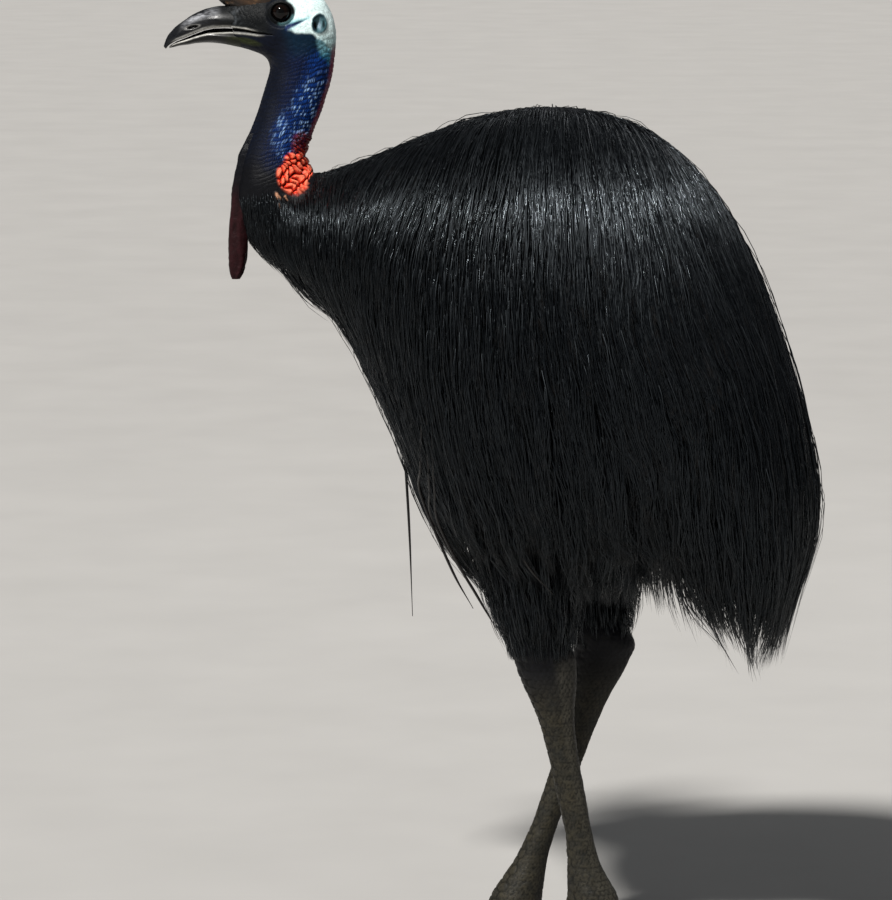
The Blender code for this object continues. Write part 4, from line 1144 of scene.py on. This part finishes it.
class Outline:
    """Depth below a closed surface and its outward direction, looked up from a grid."""

    def __init__(self, tubes, margin=0.05):
        everything = np.vstack([rings.reshape(-1, 3) for rings in tubes])
        self.low = everything.min(0) - margin
        counts = np.ceil((everything.max(0) + margin - self.low) / COAT_CELL).astype(int) + 1
        axes = [self.low[i] + COAT_CELL * np.arange(counts[i]) for i in range(3)]
        spots = np.stack(np.meshgrid(*axes, indexing="ij"), -1).reshape(-1, 3)
        depth = np.full(len(spots), -1.0)
        for rings in tubes:
            points, faces = tube(rings)
            polygons = [face for part in outward(points, faces) for face in part.tolist()]
            tree = BVHTree.FromPolygons(points.tolist(), polygons)
            near = ((spots > points.min(0) - margin) & (spots < points.max(0) + margin)).all(1)
            for i in np.flatnonzero(near):
                spot = spots[i].tolist()
                place, direction, _, distance = tree.find_nearest(spot)
                inside = (place - Vector(spot)).dot(direction) > 0
                depth[i] = max(depth[i], distance if inside else -distance)
        depth = np.maximum(depth, -margin)
        self.depth = depth.reshape(counts)
        self.rise = np.stack(np.gradient(-self.depth, COAT_CELL), -1)

    def __call__(self, points):
        """Depth and outward direction at points."""
        place = (points - self.low) / COAT_CELL
        limit = np.array(self.depth.shape) - 1.001
        place = np.clip(place, 0, limit)
        cell = place.astype(int)
        share = place - cell
        depth, rise = 0.0, 0.0
        for corner, weight in corner_weights(share):
            spot = tuple((cell + corner).T)
            depth = depth + weight * self.depth[spot]
            rise = rise + weight[:, None] * self.rise[spot]
        return depth, rise / (np.linalg.norm(rise, axis=1, keepdims=True) + 1e-9)


def fall(points, normal):
    """Direction in which the plumage hangs at points, parting along the ridge of the back."""
    square = (points[:, 0, None] - LIE[:, 0]) ** 2 + (points[:, 2, None] - LIE[:, 1]) ** 2 + 0.025 ** 2
    weight = 1 / square ** 1.5
    lean = (weight * np.tan(np.radians(LIE[:, 2]))).sum(1) / weight.sum(1)
    parting = 0.75 * np.tanh(points[:, 1] / 0.012) * np.clip(normal[:, 2], 0, 1)
    return unit(np.stack((lean, parting, -np.ones(len(points))), -1))


def grow(outline, roots, out, lengths, layers, fray, nodes, stiffness=0.62):
    """Lines of feathers (count, nodes + 1, 3) from the skin, laid under the coat's outline.

    A feather ends where it comes within its fray of the underside of the outline.
    """
    start_depth = outline(roots)[0]
    layers = np.minimum(layers, 0.80 * start_depth)
    lay = fall(roots, out)
    lay = unit(lay - out * (lay * out).sum(1)[:, None])
    place, heading = roots.copy(), unit(START_RISE * out + lay)
    path = np.empty((SUBSTEPS + 1, len(roots), 3))
    path[0] = place
    alive = np.ones(len(roots), bool)
    grown = np.full(len(roots), float(SUBSTEPS))
    for step in range(SUBSTEPS):
        share = (step + 0.5) / SUBSTEPS
        depth, normal = outline(place)
        target = np.maximum(layers, start_depth - 0.95 * share * lengths)
        hang = fall(place, normal)
        under = ramp(normal[:, 2], -0.90, -0.62)
        lay = unit(hang - normal * ((hang * normal).sum(1) * 0.98 * under)[:, None])
        push = np.clip((depth - target) / np.maximum(0.011, 3.2 * lengths / SUBSTEPS), -1.6, 0.8)
        push *= np.where(push > 0, 0.1 + 0.9 * under, 0.25 + 0.75 * under)
        wanted = unit(lay + normal * push[:, None])
        heading = unit(stiffness * heading + (1 - stiffness) * wanted)
        ends = alive & (normal[:, 2] < -0.55) & (depth < fray) & (share > 0.15)
        grown[ends] = step
        alive &= ~ends
        place = place + np.where(alive, lengths / SUBSTEPS, 0.0)[:, None] * heading
        path[step + 1] = place
    where = np.linspace(0, 1, nodes + 1)[None] * np.maximum(grown, 2.0)[:, None]
    first = np.minimum(where.astype(int), SUBSTEPS - 1)
    share = (where - first)[..., None]
    column = np.arange(len(roots))[:, None]
    return path[first, column] * (1 - share) + path[first + 1, column] * share


def sown(steps, density, count, rng):
    """Even roots over the skin between steps: steps, angles, points and outward directions."""
    parts = 96
    turn = np.append(circle(parts), 2 * math.pi)
    grid = section_points(spline(SKIN, steps)[:, None], turn[None])
    u, v = np.diff(grid, axis=0)[:, :-1], np.diff(grid, axis=1)[:-1]
    area = np.linalg.norm(np.cross(u, v), axis=-1)
    middle_step = (steps[:-1] + steps[1:])[:, None] / 2
    middle_turn = (turn[:-1] + turn[1:])[None] / 2
    weight = (area * density(middle_step, middle_turn)).ravel()
    total = np.cumsum(weight) / weight.sum()
    pick = np.minimum(np.searchsorted(total, (np.arange(count) + rng.random(count)) / count), len(weight) - 1)
    i, j = np.divmod(pick, parts)
    step = steps[i] + rng.random(count) * (steps[i + 1] - steps[i])
    angle = turn[j] + rng.random(count) * (turn[1] - turn[0])
    rows, near = spline(SKIN, step), 0.01
    points = section_points(rows, angle)
    ahead = (section_points(spline(SKIN, np.minimum(step + near, steps[-1])), angle)
             - section_points(spline(SKIN, np.maximum(step - near, steps[0])), angle))
    around = section_points(rows, angle + near) - section_points(rows, angle - near)
    out = unit(np.cross(around, ahead))
    middle = section_points(rows, angle * 0) + section_points(rows, angle * 0 + math.pi)
    out *= np.sign(((points - middle / 2) * out).sum(1))[:, None]
    return step, angle, points, out


def strands_mesh(lines, across, out, widths, tint, spots):
    """Closed three-sided tapering strands in one mesh, each with its own small patch on OFBake."""
    count, nodes = lines.shape[0], lines.shape[1] - 1
    share = np.linspace(0, 1, nodes + 1)[:-1]
    profile = (0.45 + 0.55 * ramp(share, 0.0, 0.25)) * (1 - 0.86 * share ** 2.2)
    half = widths[:, None] * profile[None] / 2
    ring = lines[:, :-1]
    left = ring + across[:, :-1] * half[..., None]
    right = ring - across[:, :-1] * half[..., None]
    crest = ring + out[:, :-1] * half[..., None] * 0.75
    points = np.stack((left, crest, right), 2).reshape(count, nodes * 3, 3)
    points = np.concatenate((points, lines[:, -1:]), 1)
    per = nodes * 3 + 1
    spans = list(itertools.product(range(nodes - 1), range(3)))
    quads = [(k * 3 + side, k * 3 + (side + 1) % 3, (k + 1) * 3 + (side + 1) % 3, (k + 1) * 3 + side)
             for k, side in spans]
    last = (nodes - 1) * 3
    tips = [(last + side, last + (side + 1) % 3, per - 1) for side in range(3)] + [(2, 1, 0)]
    quad_uv = [((side / 3, k / nodes), ((side + 1) / 3, k / nodes), ((side + 1) / 3, (k + 1) / nodes),
                (side / 3, (k + 1) / nodes)) for k, side in spans]
    low = (nodes - 1) / nodes
    tip_uv = [((side / 3, low), ((side + 1) / 3, low), ((side + 0.5) / 3, 1.0)) for side in range(3)]
    tip_uv.append(((0.35, 0.02), (0.65, 0.02), (0.5, -0.10)))
    parts, maps = [np.array(quads), np.array(tips)], [np.array(quad_uv), np.array(tip_uv)]
    if signed_volume(points[0], parts) < 0:
        parts, maps = [part[:, ::-1] for part in parts], [part[:, ::-1] for part in maps]
    base = (np.arange(count) * per)[:, None, None]
    faces = [(part + base).reshape(-1, part.shape[1]) for part in parts]
    mesh = new_mesh("strands", points.reshape(-1, 3), faces, closed=False)
    uv = np.vstack([(spots[:, None, None] + part * PATCH_SIZE).reshape(-1, 2) for part in maps])
    mesh.uv_layers.new(name="OFBake").data.foreach_set("uv", uv.astype(np.float32).ravel())
    store(mesh, "Tint", np.repeat(tint, per))
    store(mesh, "Reach", np.tile(np.append(np.repeat(share, 3), 1.0), count))
    return mesh


def frames(outline, lines):
    """Across and outward directions along lines."""
    ahead = unit(np.gradient(lines, axis=1))
    out = outline(lines.reshape(-1, 3))[1].reshape(lines.shape)
    out = unit(out - ahead * (out * ahead).sum(-1, keepdims=True))
    return np.cross(ahead, out), out


def waved(outline, lines, lengths, wave, spacing, phase):
    """Sways lines from side to side, more towards their ends."""
    across, _ = frames(outline, lines)
    share = np.linspace(0, 1, lines.shape[1])[None]
    swing = np.sin(2 * math.pi * (share * (lengths / spacing)[:, None] + phase[:, None]))
    stray = noise(lines + 3.0, 0.045) * 0.6 + noise(lines[:, :1] + 8.0, 0.02)
    return lines + across * (wave[:, None] * share ** 0.8 * (swing + 1.2 * stray))[..., None]


def twisted(outline, lines, rng):
    """Directions across and out of each feather, turned a little about its length."""
    across, out = frames(outline, lines)
    twist = rng.normal(0, TWIST, (len(lines), 1, 1))
    return unit(across + twist * out), unit(out - twist * across)


def feather_length(step, angle):
    """Length of the feathers rooted at a skin step and angle, longer towards the belly."""
    belly = (1 - np.cos(angle)) / 2 * ramp(step, 14, 16)
    return np.interp(step, LENGTHS[:, 0], LENGTHS[:, 1]) * (1 + 0.30 * belly)


def make_coat(material):
    rng = np.random.default_rng(11)
    body = Outline([coat_outline()] + [level_rings(drumstick_rows(leg, 0.0), 40) for leg in LEGS.values()])
    steps = np.linspace(11.15, 22.9, 240)

    def density(step, turn):
        bare = ramp(step + 0.55 * (1 - np.cos(turn)) / 2, 11.45, 12.1)
        rear = 1 + 0.55 * ramp(step, 19.3, 21.0)
        return bare * rear * (0.12 / feather_length(step, 0 * turn)) ** 0.75 * (1 + 0.25 * np.cos(turn))

    step, angle, roots, out = sown(steps, density, STRANDS, rng)
    guide_step, guide_angle, guide_roots, guide_out = sown(steps, density, CLUMPS, rng)
    lengths = feather_length(step, angle) * rng.uniform(0.72, 1.12, STRANDS)
    guide_lengths = feather_length(guide_step, guide_angle) * rng.uniform(0.75, 1.12, CLUMPS)
    keep = oval(roots[:, 0], roots[:, 2], CARUNCLE) > 1.12      # none on the red patch
    fluffy = ramp(lengths, 0.02, 0.12)
    layers = 0.0005 + 0.018 * rng.random(STRANDS) ** 1.6 * fluffy
    guide_layers = 0.0010 + 0.013 * rng.random(CLUMPS) ** 1.3
    stray = rng.random(STRANDS) < STRAYS
    layers = np.where(stray, STRAY_LAYER, layers)
    loose = ramp(step, 15.3, 18.0)
    clump = (0.22 + 0.62 * loose) * np.where(stray, 0.1, 1.0) * rng.uniform(0.75, 1.1, STRANDS)
    guide_loose = ramp(guide_step, 15.3, 18.0)
    guide_wave = (0.0009 + 0.0078 * guide_loose) * rng.uniform(0.4, 1.3, CLUMPS)
    guide_spacing = rng.uniform(0.085, 0.150, CLUMPS)
    guide_phase = 0.8 * noise(guide_roots, 0.06) + rng.uniform(0, 0.45, CLUMPS)
    guide_fray = rng.uniform(-0.008, 0.020, CLUMPS)
    tree = KDTree(CLUMPS)
    for i, spot in enumerate(guide_roots):
        tree.insert(spot, i)
    tree.balance()
    mine = np.array([tree.find(spot)[1] for spot in roots])
    hem = ramp(step, 18.6, 20.5)             # the long plumes behind end raggedly
    fray = guide_fray[mine] * (1 - 0.5 * hem) + rng.uniform(-0.010, 0.010, STRANDS)
    fray += hem * 0.060 * rng.random(STRANDS) ** 1.7
    clump *= 1 - 0.30 * hem
    deep = layers > 0.0055                          # coarse feathers below, fine ones on top
    nodes_for = np.select((lengths < 0.05, lengths < 0.12, lengths < 0.22), (3, 5, 7), 9)
    nodes_for = np.where(deep, (nodes_for + 3) // 2, nodes_for)
    widths = np.interp(lengths, (0.02, 0.08, 0.20, 0.38), (0.0010, 0.0015, 0.0021, 0.0024))
    widths *= rng.uniform(0.75, 1.2, STRANDS) * np.where(deep, 1.55, 0.85)
    tint = np.clip(rng.normal(0.5, 0.22, STRANDS) + 0.15 * noise(roots, 0.06), 0, 1)
    wave = np.interp(step, (12, 15, 18, 23), (0.0005, 0.0018, 0.0036, 0.0042))
    spacing, phase = rng.uniform(0.05, 0.11, STRANDS), rng.random(STRANDS)
    spots = np.column_stack((0.01 + 0.975 * angle / (2 * math.pi), 0.01 + 0.75 * (step - 11) / 12))

    limits = (("breast", 0.0, 13.9), ("shoulder", 13.9, 15.5), ("foreflank", 15.5, 16.6),
              ("flank", 16.6, 17.7), ("thigh", 17.7, 19.3), ("rump", 19.3, 99.0))
    for group, first, last in limits:
        inside = (step >= first) & (step < last)
        for side, sign in SIDES.items():
            chosen = inside & keep & (np.sign(roots[:, 1]) == sign)
            meshes = []
            for nodes in np.unique(nodes_for):
                pick = np.flatnonzero(chosen & (nodes_for == nodes))
                if not len(pick):
                    continue
                guides = np.unique(mine[pick])
                place = np.searchsorted(guides, mine[pick])
                locks = grow(body, guide_roots[guides], guide_out[guides], guide_lengths[guides],
                             guide_layers[guides], guide_fray[guides], nodes)
                locks = waved(body, locks, guide_lengths[guides], guide_wave[guides],
                              guide_spacing[guides], guide_phase[guides])
                lines = grow(body, roots[pick], out[pick], lengths[pick], layers[pick], fray[pick], nodes)
                share = np.linspace(0, 1, nodes + 1)
                pull = clump[pick, None] * ramp(share, 0.10, 0.85)[None]
                offset = (roots[pick] - guide_roots[guides][place])[:, None] * 0.22
                lines = lines + pull[..., None] * (locks[place] + offset - lines)
                lines = waved(body, lines, lengths[pick], wave[pick], spacing[pick], phase[pick])
                across, up = twisted(body, lines, rng)
                meshes.append(strands_mesh(lines, across, up, widths[pick], tint[pick], spots[pick]))
            join_piece(f"coat_{side}_{group}", meshes, material,
                       "rump_plumes" if group == "rump" else "plumage", "trunk", "tail")
    for side, leg in LEGS.items():
        make_leg_coat(side, leg, material, rng)


def make_leg_coat(side, leg, material, rng):
    """Short dense feathers of the drumstick, down to the hock."""
    outline = Outline([level_rings(drumstick_rows(leg, 0.0), 40)])
    skin = drumstick_rows(leg, 1.0)[::-1]
    count = LEG_STRANDS // 2
    height = np.linspace(0, 1, len(skin))
    pick = np.sort(rng.random(count)) * 0.90
    turn = rng.random(count) * 2 * math.pi
    row = np.stack([np.interp(pick, height, skin[:, i]) for i in range(5)], -1)
    out = unit(spread(np.cos(turn), np.sin(turn), 0))
    roots = row[:, :3] + spread(row[:, 3] * np.cos(turn), row[:, 4] * np.sin(turn), 0)
    reach = {"left": 1.25, "right": 1.6}[side]
    lengths = np.interp(pick, (0, 0.12, 0.3, 1.0), (0.022 * reach, 0.040 * reach, 0.060, 0.10))
    lengths *= rng.uniform(0.45, 1.3, count)
    behind = ramp(np.cos(turn), 0.2, 0.8)
    lengths += {"left": 0.024, "right": 0.034}[side] * behind * fade(pick, 0.10, 0.30)
    loose, deep = rng.random(count) < 0.12 + 0.35 * behind, rng.random(count)
    layers = np.where(loose, STRAY_LAYER, 0.0005 + 0.008 * deep)
    if side == "right":                                 # the far one's fullest at the back
        layers = layers + (-0.0095 + 0.0120 * deep - layers) * behind
    lines = grow(outline, roots, out, lengths, layers, np.full(count, -0.02), LEG_NODES)
    lines = waved(outline, lines, lengths, np.full(count, 0.0014), rng.uniform(0.05, 0.10, count),
                  rng.random(count))
    across, up = twisted(outline, lines, rng)
    widths = np.interp(lengths, (0.03, 0.1), (0.0013, 0.0019)) * rng.uniform(0.8, 1.2, count)
    tint = np.clip(rng.normal(0.6, 0.2, count), 0, 1)
    shift = 0.01 if side == "left" else 0.51
    spots = np.column_stack((shift + 0.47 * turn / (2 * math.pi), 0.80 + 0.18 * pick))
    mesh = strands_mesh(lines, across, up, widths, tint, spots)
    join_piece(f"coat_{side}_drumstick", [mesh], material, "plumage", f"leg_{side}_drumstick")


def join_piece(name, meshes, material, slot, *nodes):
    """One piece from several strand meshes."""
    build = bmesh.new()
    for mesh in meshes:
        build.from_mesh(mesh)
        bpy.data.meshes.remove(mesh)
    joined = bpy.data.meshes.new(name)
    build.to_mesh(joined)
    build.free()
    joined.shade_smooth()
    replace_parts(new_piece(name, joined, material), *nodes)


# Materials
class Look:
    """A procedural material, with short ways to add nodes to its tree."""

    def __init__(self, name, **constants):
        self.material = bpy.data.materials.new(name)
        self.material.use_nodes = True
        self.tree = self.material.node_tree
        self.shader = self.tree.nodes["Principled BSDF"]
        for socket, value in constants.items():
            self.shader.inputs[socket.replace("_", " ")].default_value = value
        self.place = self.add("ShaderNodeTexCoord").outputs["Object"]

    def add(self, kind, inputs=None, **settings):
        node = self.tree.nodes.new(kind)
        for key, value in settings.items():
            setattr(node, key, value)
        for key, value in (inputs or {}).items():
            if isinstance(value, bpy.types.NodeSocket):
                self.tree.links.new(value, node.inputs[key])
            else:
                node.inputs[key].default_value = value
        return node

    def noise(self, scale, detail, place=None):
        inputs = {"Vector": place or self.place, "Scale": scale, "Detail": detail, "Roughness": 0.55}
        return self.add("ShaderNodeTexNoise", inputs).outputs["Fac"]

    def stretched(self, x, y, z):
        return self.add("ShaderNodeVectorMath", {0: self.place, 1: (x, y, z)},
                        operation="MULTIPLY").outputs["Vector"]

    def attribute(self, name, output="Fac"):
        return self.add("ShaderNodeAttribute", attribute_name=name).outputs[output]

    def ramp(self, value, low, high, start=0.0, stop=1.0):
        return self.add("ShaderNodeMapRange", {"Value": value, "From Min": low, "From Max": high,
                                               "To Min": start, "To Max": stop}).outputs["Result"]

    def speckle(self, scale, detail, start, stop):
        """Noise that runs from start to stop."""
        return self.ramp(self.noise(scale, detail), 0.3, 0.7, start, stop)

    def math(self, operation, a, b):
        return self.add("ShaderNodeMath", {0: a, 1: b}, operation=operation).outputs[0]

    def scaled(self, colour, factor):
        """A colour times a factor."""
        return self.add("ShaderNodeVectorMath", {0: colour, "Scale": factor},
                        operation="SCALE").outputs["Vector"]

    def mix(self, factor, a, b):
        node = self.add("ShaderNodeMix", {"Factor": factor}, data_type="RGBA")
        for key, value in (("A", a), ("B", b)):
            socket = [i for i in node.inputs if i.name == key and i.type == "RGBA"][0]
            if isinstance(value, bpy.types.NodeSocket):
                self.tree.links.new(value, socket)
            else:
                socket.default_value = (*value, 1.0)
        return [o for o in node.outputs if o.type == "RGBA"][0]

    def bump(self, height, distance, strength):
        inputs = {"Height": height, "Distance": distance, "Strength": strength}
        return self.add("ShaderNodeBump", inputs).outputs["Normal"]

    def use(self, **sockets):
        for key, value in sockets.items():
            self.tree.links.new(value, self.shader.inputs[key.replace("_", " ")])
        return self.material


def skin_look():
    look = Look("bare_skin", Specular_IOR_Level=0.13)
    paint = look.attribute("Paint", "Color")
    dullness = look.attribute("Dullness")
    mottle = look.speckle(420.0, 4.0, 0.72, 1.28)
    fine = look.noise(1500.0, 3.0)
    cells = look.add("ShaderNodeTexVoronoi", {"Vector": look.place, "Scale": 520.0},
                     feature="DISTANCE_TO_EDGE").outputs["Distance"]
    pebbles = look.ramp(cells, 0.0, 0.25)
    height = look.math("ADD", look.math("MULTIPLY", pebbles, 0.6), look.math("MULTIPLY", fine, 0.5))
    rough = look.speckle(260.0, 3.0, 0.32, 0.48)
    rough = look.math("ADD", rough, look.math("MULTIPLY", dullness, 0.10))
    return look.use(Base_Color=look.scaled(paint, mottle), Roughness=rough,
                    Normal=look.bump(height, 0.00035, 0.6))


def horn_look(name, rough_low, rough_high, shine=0.42):
    look = Look(name, Specular_IOR_Level=shine)
    paint = look.attribute("Paint", "Color")
    streaks = look.noise(1.0, 4.0, place=look.stretched(260.0, 900.0, 700.0))
    mottle = look.ramp(streaks, 0.3, 0.7, 0.75, 1.3)
    scratches = look.noise(1.0, 2.0, place=look.stretched(500.0, 2600.0, 2200.0))
    rough = look.speckle(330.0, 4.0, rough_low, rough_high)
    rough = look.math("ADD", rough, look.math("MULTIPLY", look.attribute("Dullness"), 0.28))
    return look.use(Base_Color=look.scaled(paint, mottle), Roughness=rough,
                    Normal=look.bump(look.math("ADD", streaks, scratches), 0.00012, 0.5))


def eye_look():
    look = Look("wet_eye", Specular_IOR_Level=0.25, Coat_Weight=0.15, Coat_Roughness=0.04, IOR=1.38)
    paint = look.attribute("Paint", "Color")
    mottle = look.speckle(900.0, 3.0, 0.8, 1.25)
    rough = look.speckle(700.0, 2.0, 0.05, 0.12)
    return look.use(Base_Color=look.scaled(paint, mottle), Roughness=rough)


def plumage_look():
    look = Look("black_plumage", Specular_IOR_Level=0.45, Specular_Tint=(0.80, 0.91, 1.0, 1.0))
    tint, reach = look.attribute("Tint"), look.attribute("Reach")
    base = look.mix(tint, (0.0009, 0.0012, 0.0017), (0.0034, 0.0040, 0.0048))
    blotches = look.math("MULTIPLY", look.ramp(reach, 0.55, 1.0), look.ramp(look.noise(90.0, 2.0), 0.45, 0.75))
    base = look.mix(blotches, base, (0.014, 0.011, 0.009))
    fleck = look.speckle(1200.0, 2.0, 0.75, 1.25)
    rough = look.speckle(240.0, 3.0, 0.13, 0.30)
    rough = look.math("ADD", rough, look.ramp(tint, 0.30, 0.62, 0.26, 0.0))
    return look.use(Base_Color=look.scaled(base, fleck), Roughness=rough)


def floor_look():
    look = Look("pale_floor", Specular_IOR_Level=0.2)
    shade = look.speckle(3.0, 3.0, 0.97, 1.03)
    return look.use(Base_Color=look.scaled((0.42, 0.41, 0.395), shade),
                    Roughness=look.speckle(8.0, 3.0, 0.75, 0.90))


# Floor, light and camera
def make_stage():
    mesh = bpy.data.meshes.new("floor")
    mesh.from_pydata([(-20, -8, 0), (20, -8, 0), (20, 30, 0), (-20, 30, 0)], [], [(0, 1, 2, 3)])
    mesh.materials.append(floor_look())
    linked("floor", mesh)
    world = bpy.data.worlds.new("studio")
    bpy.context.scene.world = world
    world.use_nodes = True
    background = world.node_tree.nodes["Background"]
    background.inputs["Color"].default_value = (0.92, 0.95, 1.0, 1.0)
    background.inputs["Strength"].default_value = 0.10
    bpy.context.scene.view_settings.view_transform = "Standard"


def aimed(name, data, place, aim):
    """Puts a lamp or camera in its place, turned towards its aim."""
    item = linked(name, data)
    item.location = np.array(place) + SHIFT
    item.rotation_euler = (Vector(aim) - Vector(place)).to_track_quat("-Z", "Y").to_euler()
    return item


def new_light(name, kind, energy, colour, place, aim, **settings):
    light = bpy.data.lights.new(name, kind)
    light.energy, light.color = energy, colour
    for key, value in settings.items():
        setattr(light, key, value)
    aimed(name, light, place, aim)


def make_camera():
    camera = bpy.data.cameras.new("camera")
    camera.sensor_fit = "VERTICAL"
    camera.sensor_height = 36.0
    camera.lens = 18.0 * float(np.linalg.norm(AIM - CAMERA)) / HALF_FRAME
    camera.clip_start, camera.clip_end = 0.1, 100.0
    bpy.context.scene.camera = aimed("camera", camera, CAMERA, AIM)


def main():
    make_skin(skin_look())
    make_bill(horn_look("bill_horn", 0.19, 0.32, 0.26))
    make_casque(horn_look("casque_horn", 0.34, 0.55))
    make_claws(horn_look("claw_horn", 0.26, 0.44))
    make_eyes(eye_look())
    make_quills(horn_look("quill_horn", 0.22, 0.40))
    make_coat(plumage_look())
    make_stage()
    new_light("sun", "SUN", 5.2, (1.0, 0.98, 0.95), (-0.9, -1.55, 2.2), (0, 0, 0), angle=0.12)
    new_light("fill", "AREA", 7, (0.92, 0.96, 1.0), (-3.6, -3.4, 1.6), (-0.1, 0.0, 0.7),
              shape="RECTANGLE", size=2.5, size_y=2.5)
    new_light("back", "AREA", 18, (0.95, 0.98, 1.0), (2.2, 2.8, 3.0), (0.1, 0.0, 0.8),
              shape="RECTANGLE", size=2.0, size_y=1.5)
    make_camera()


main()
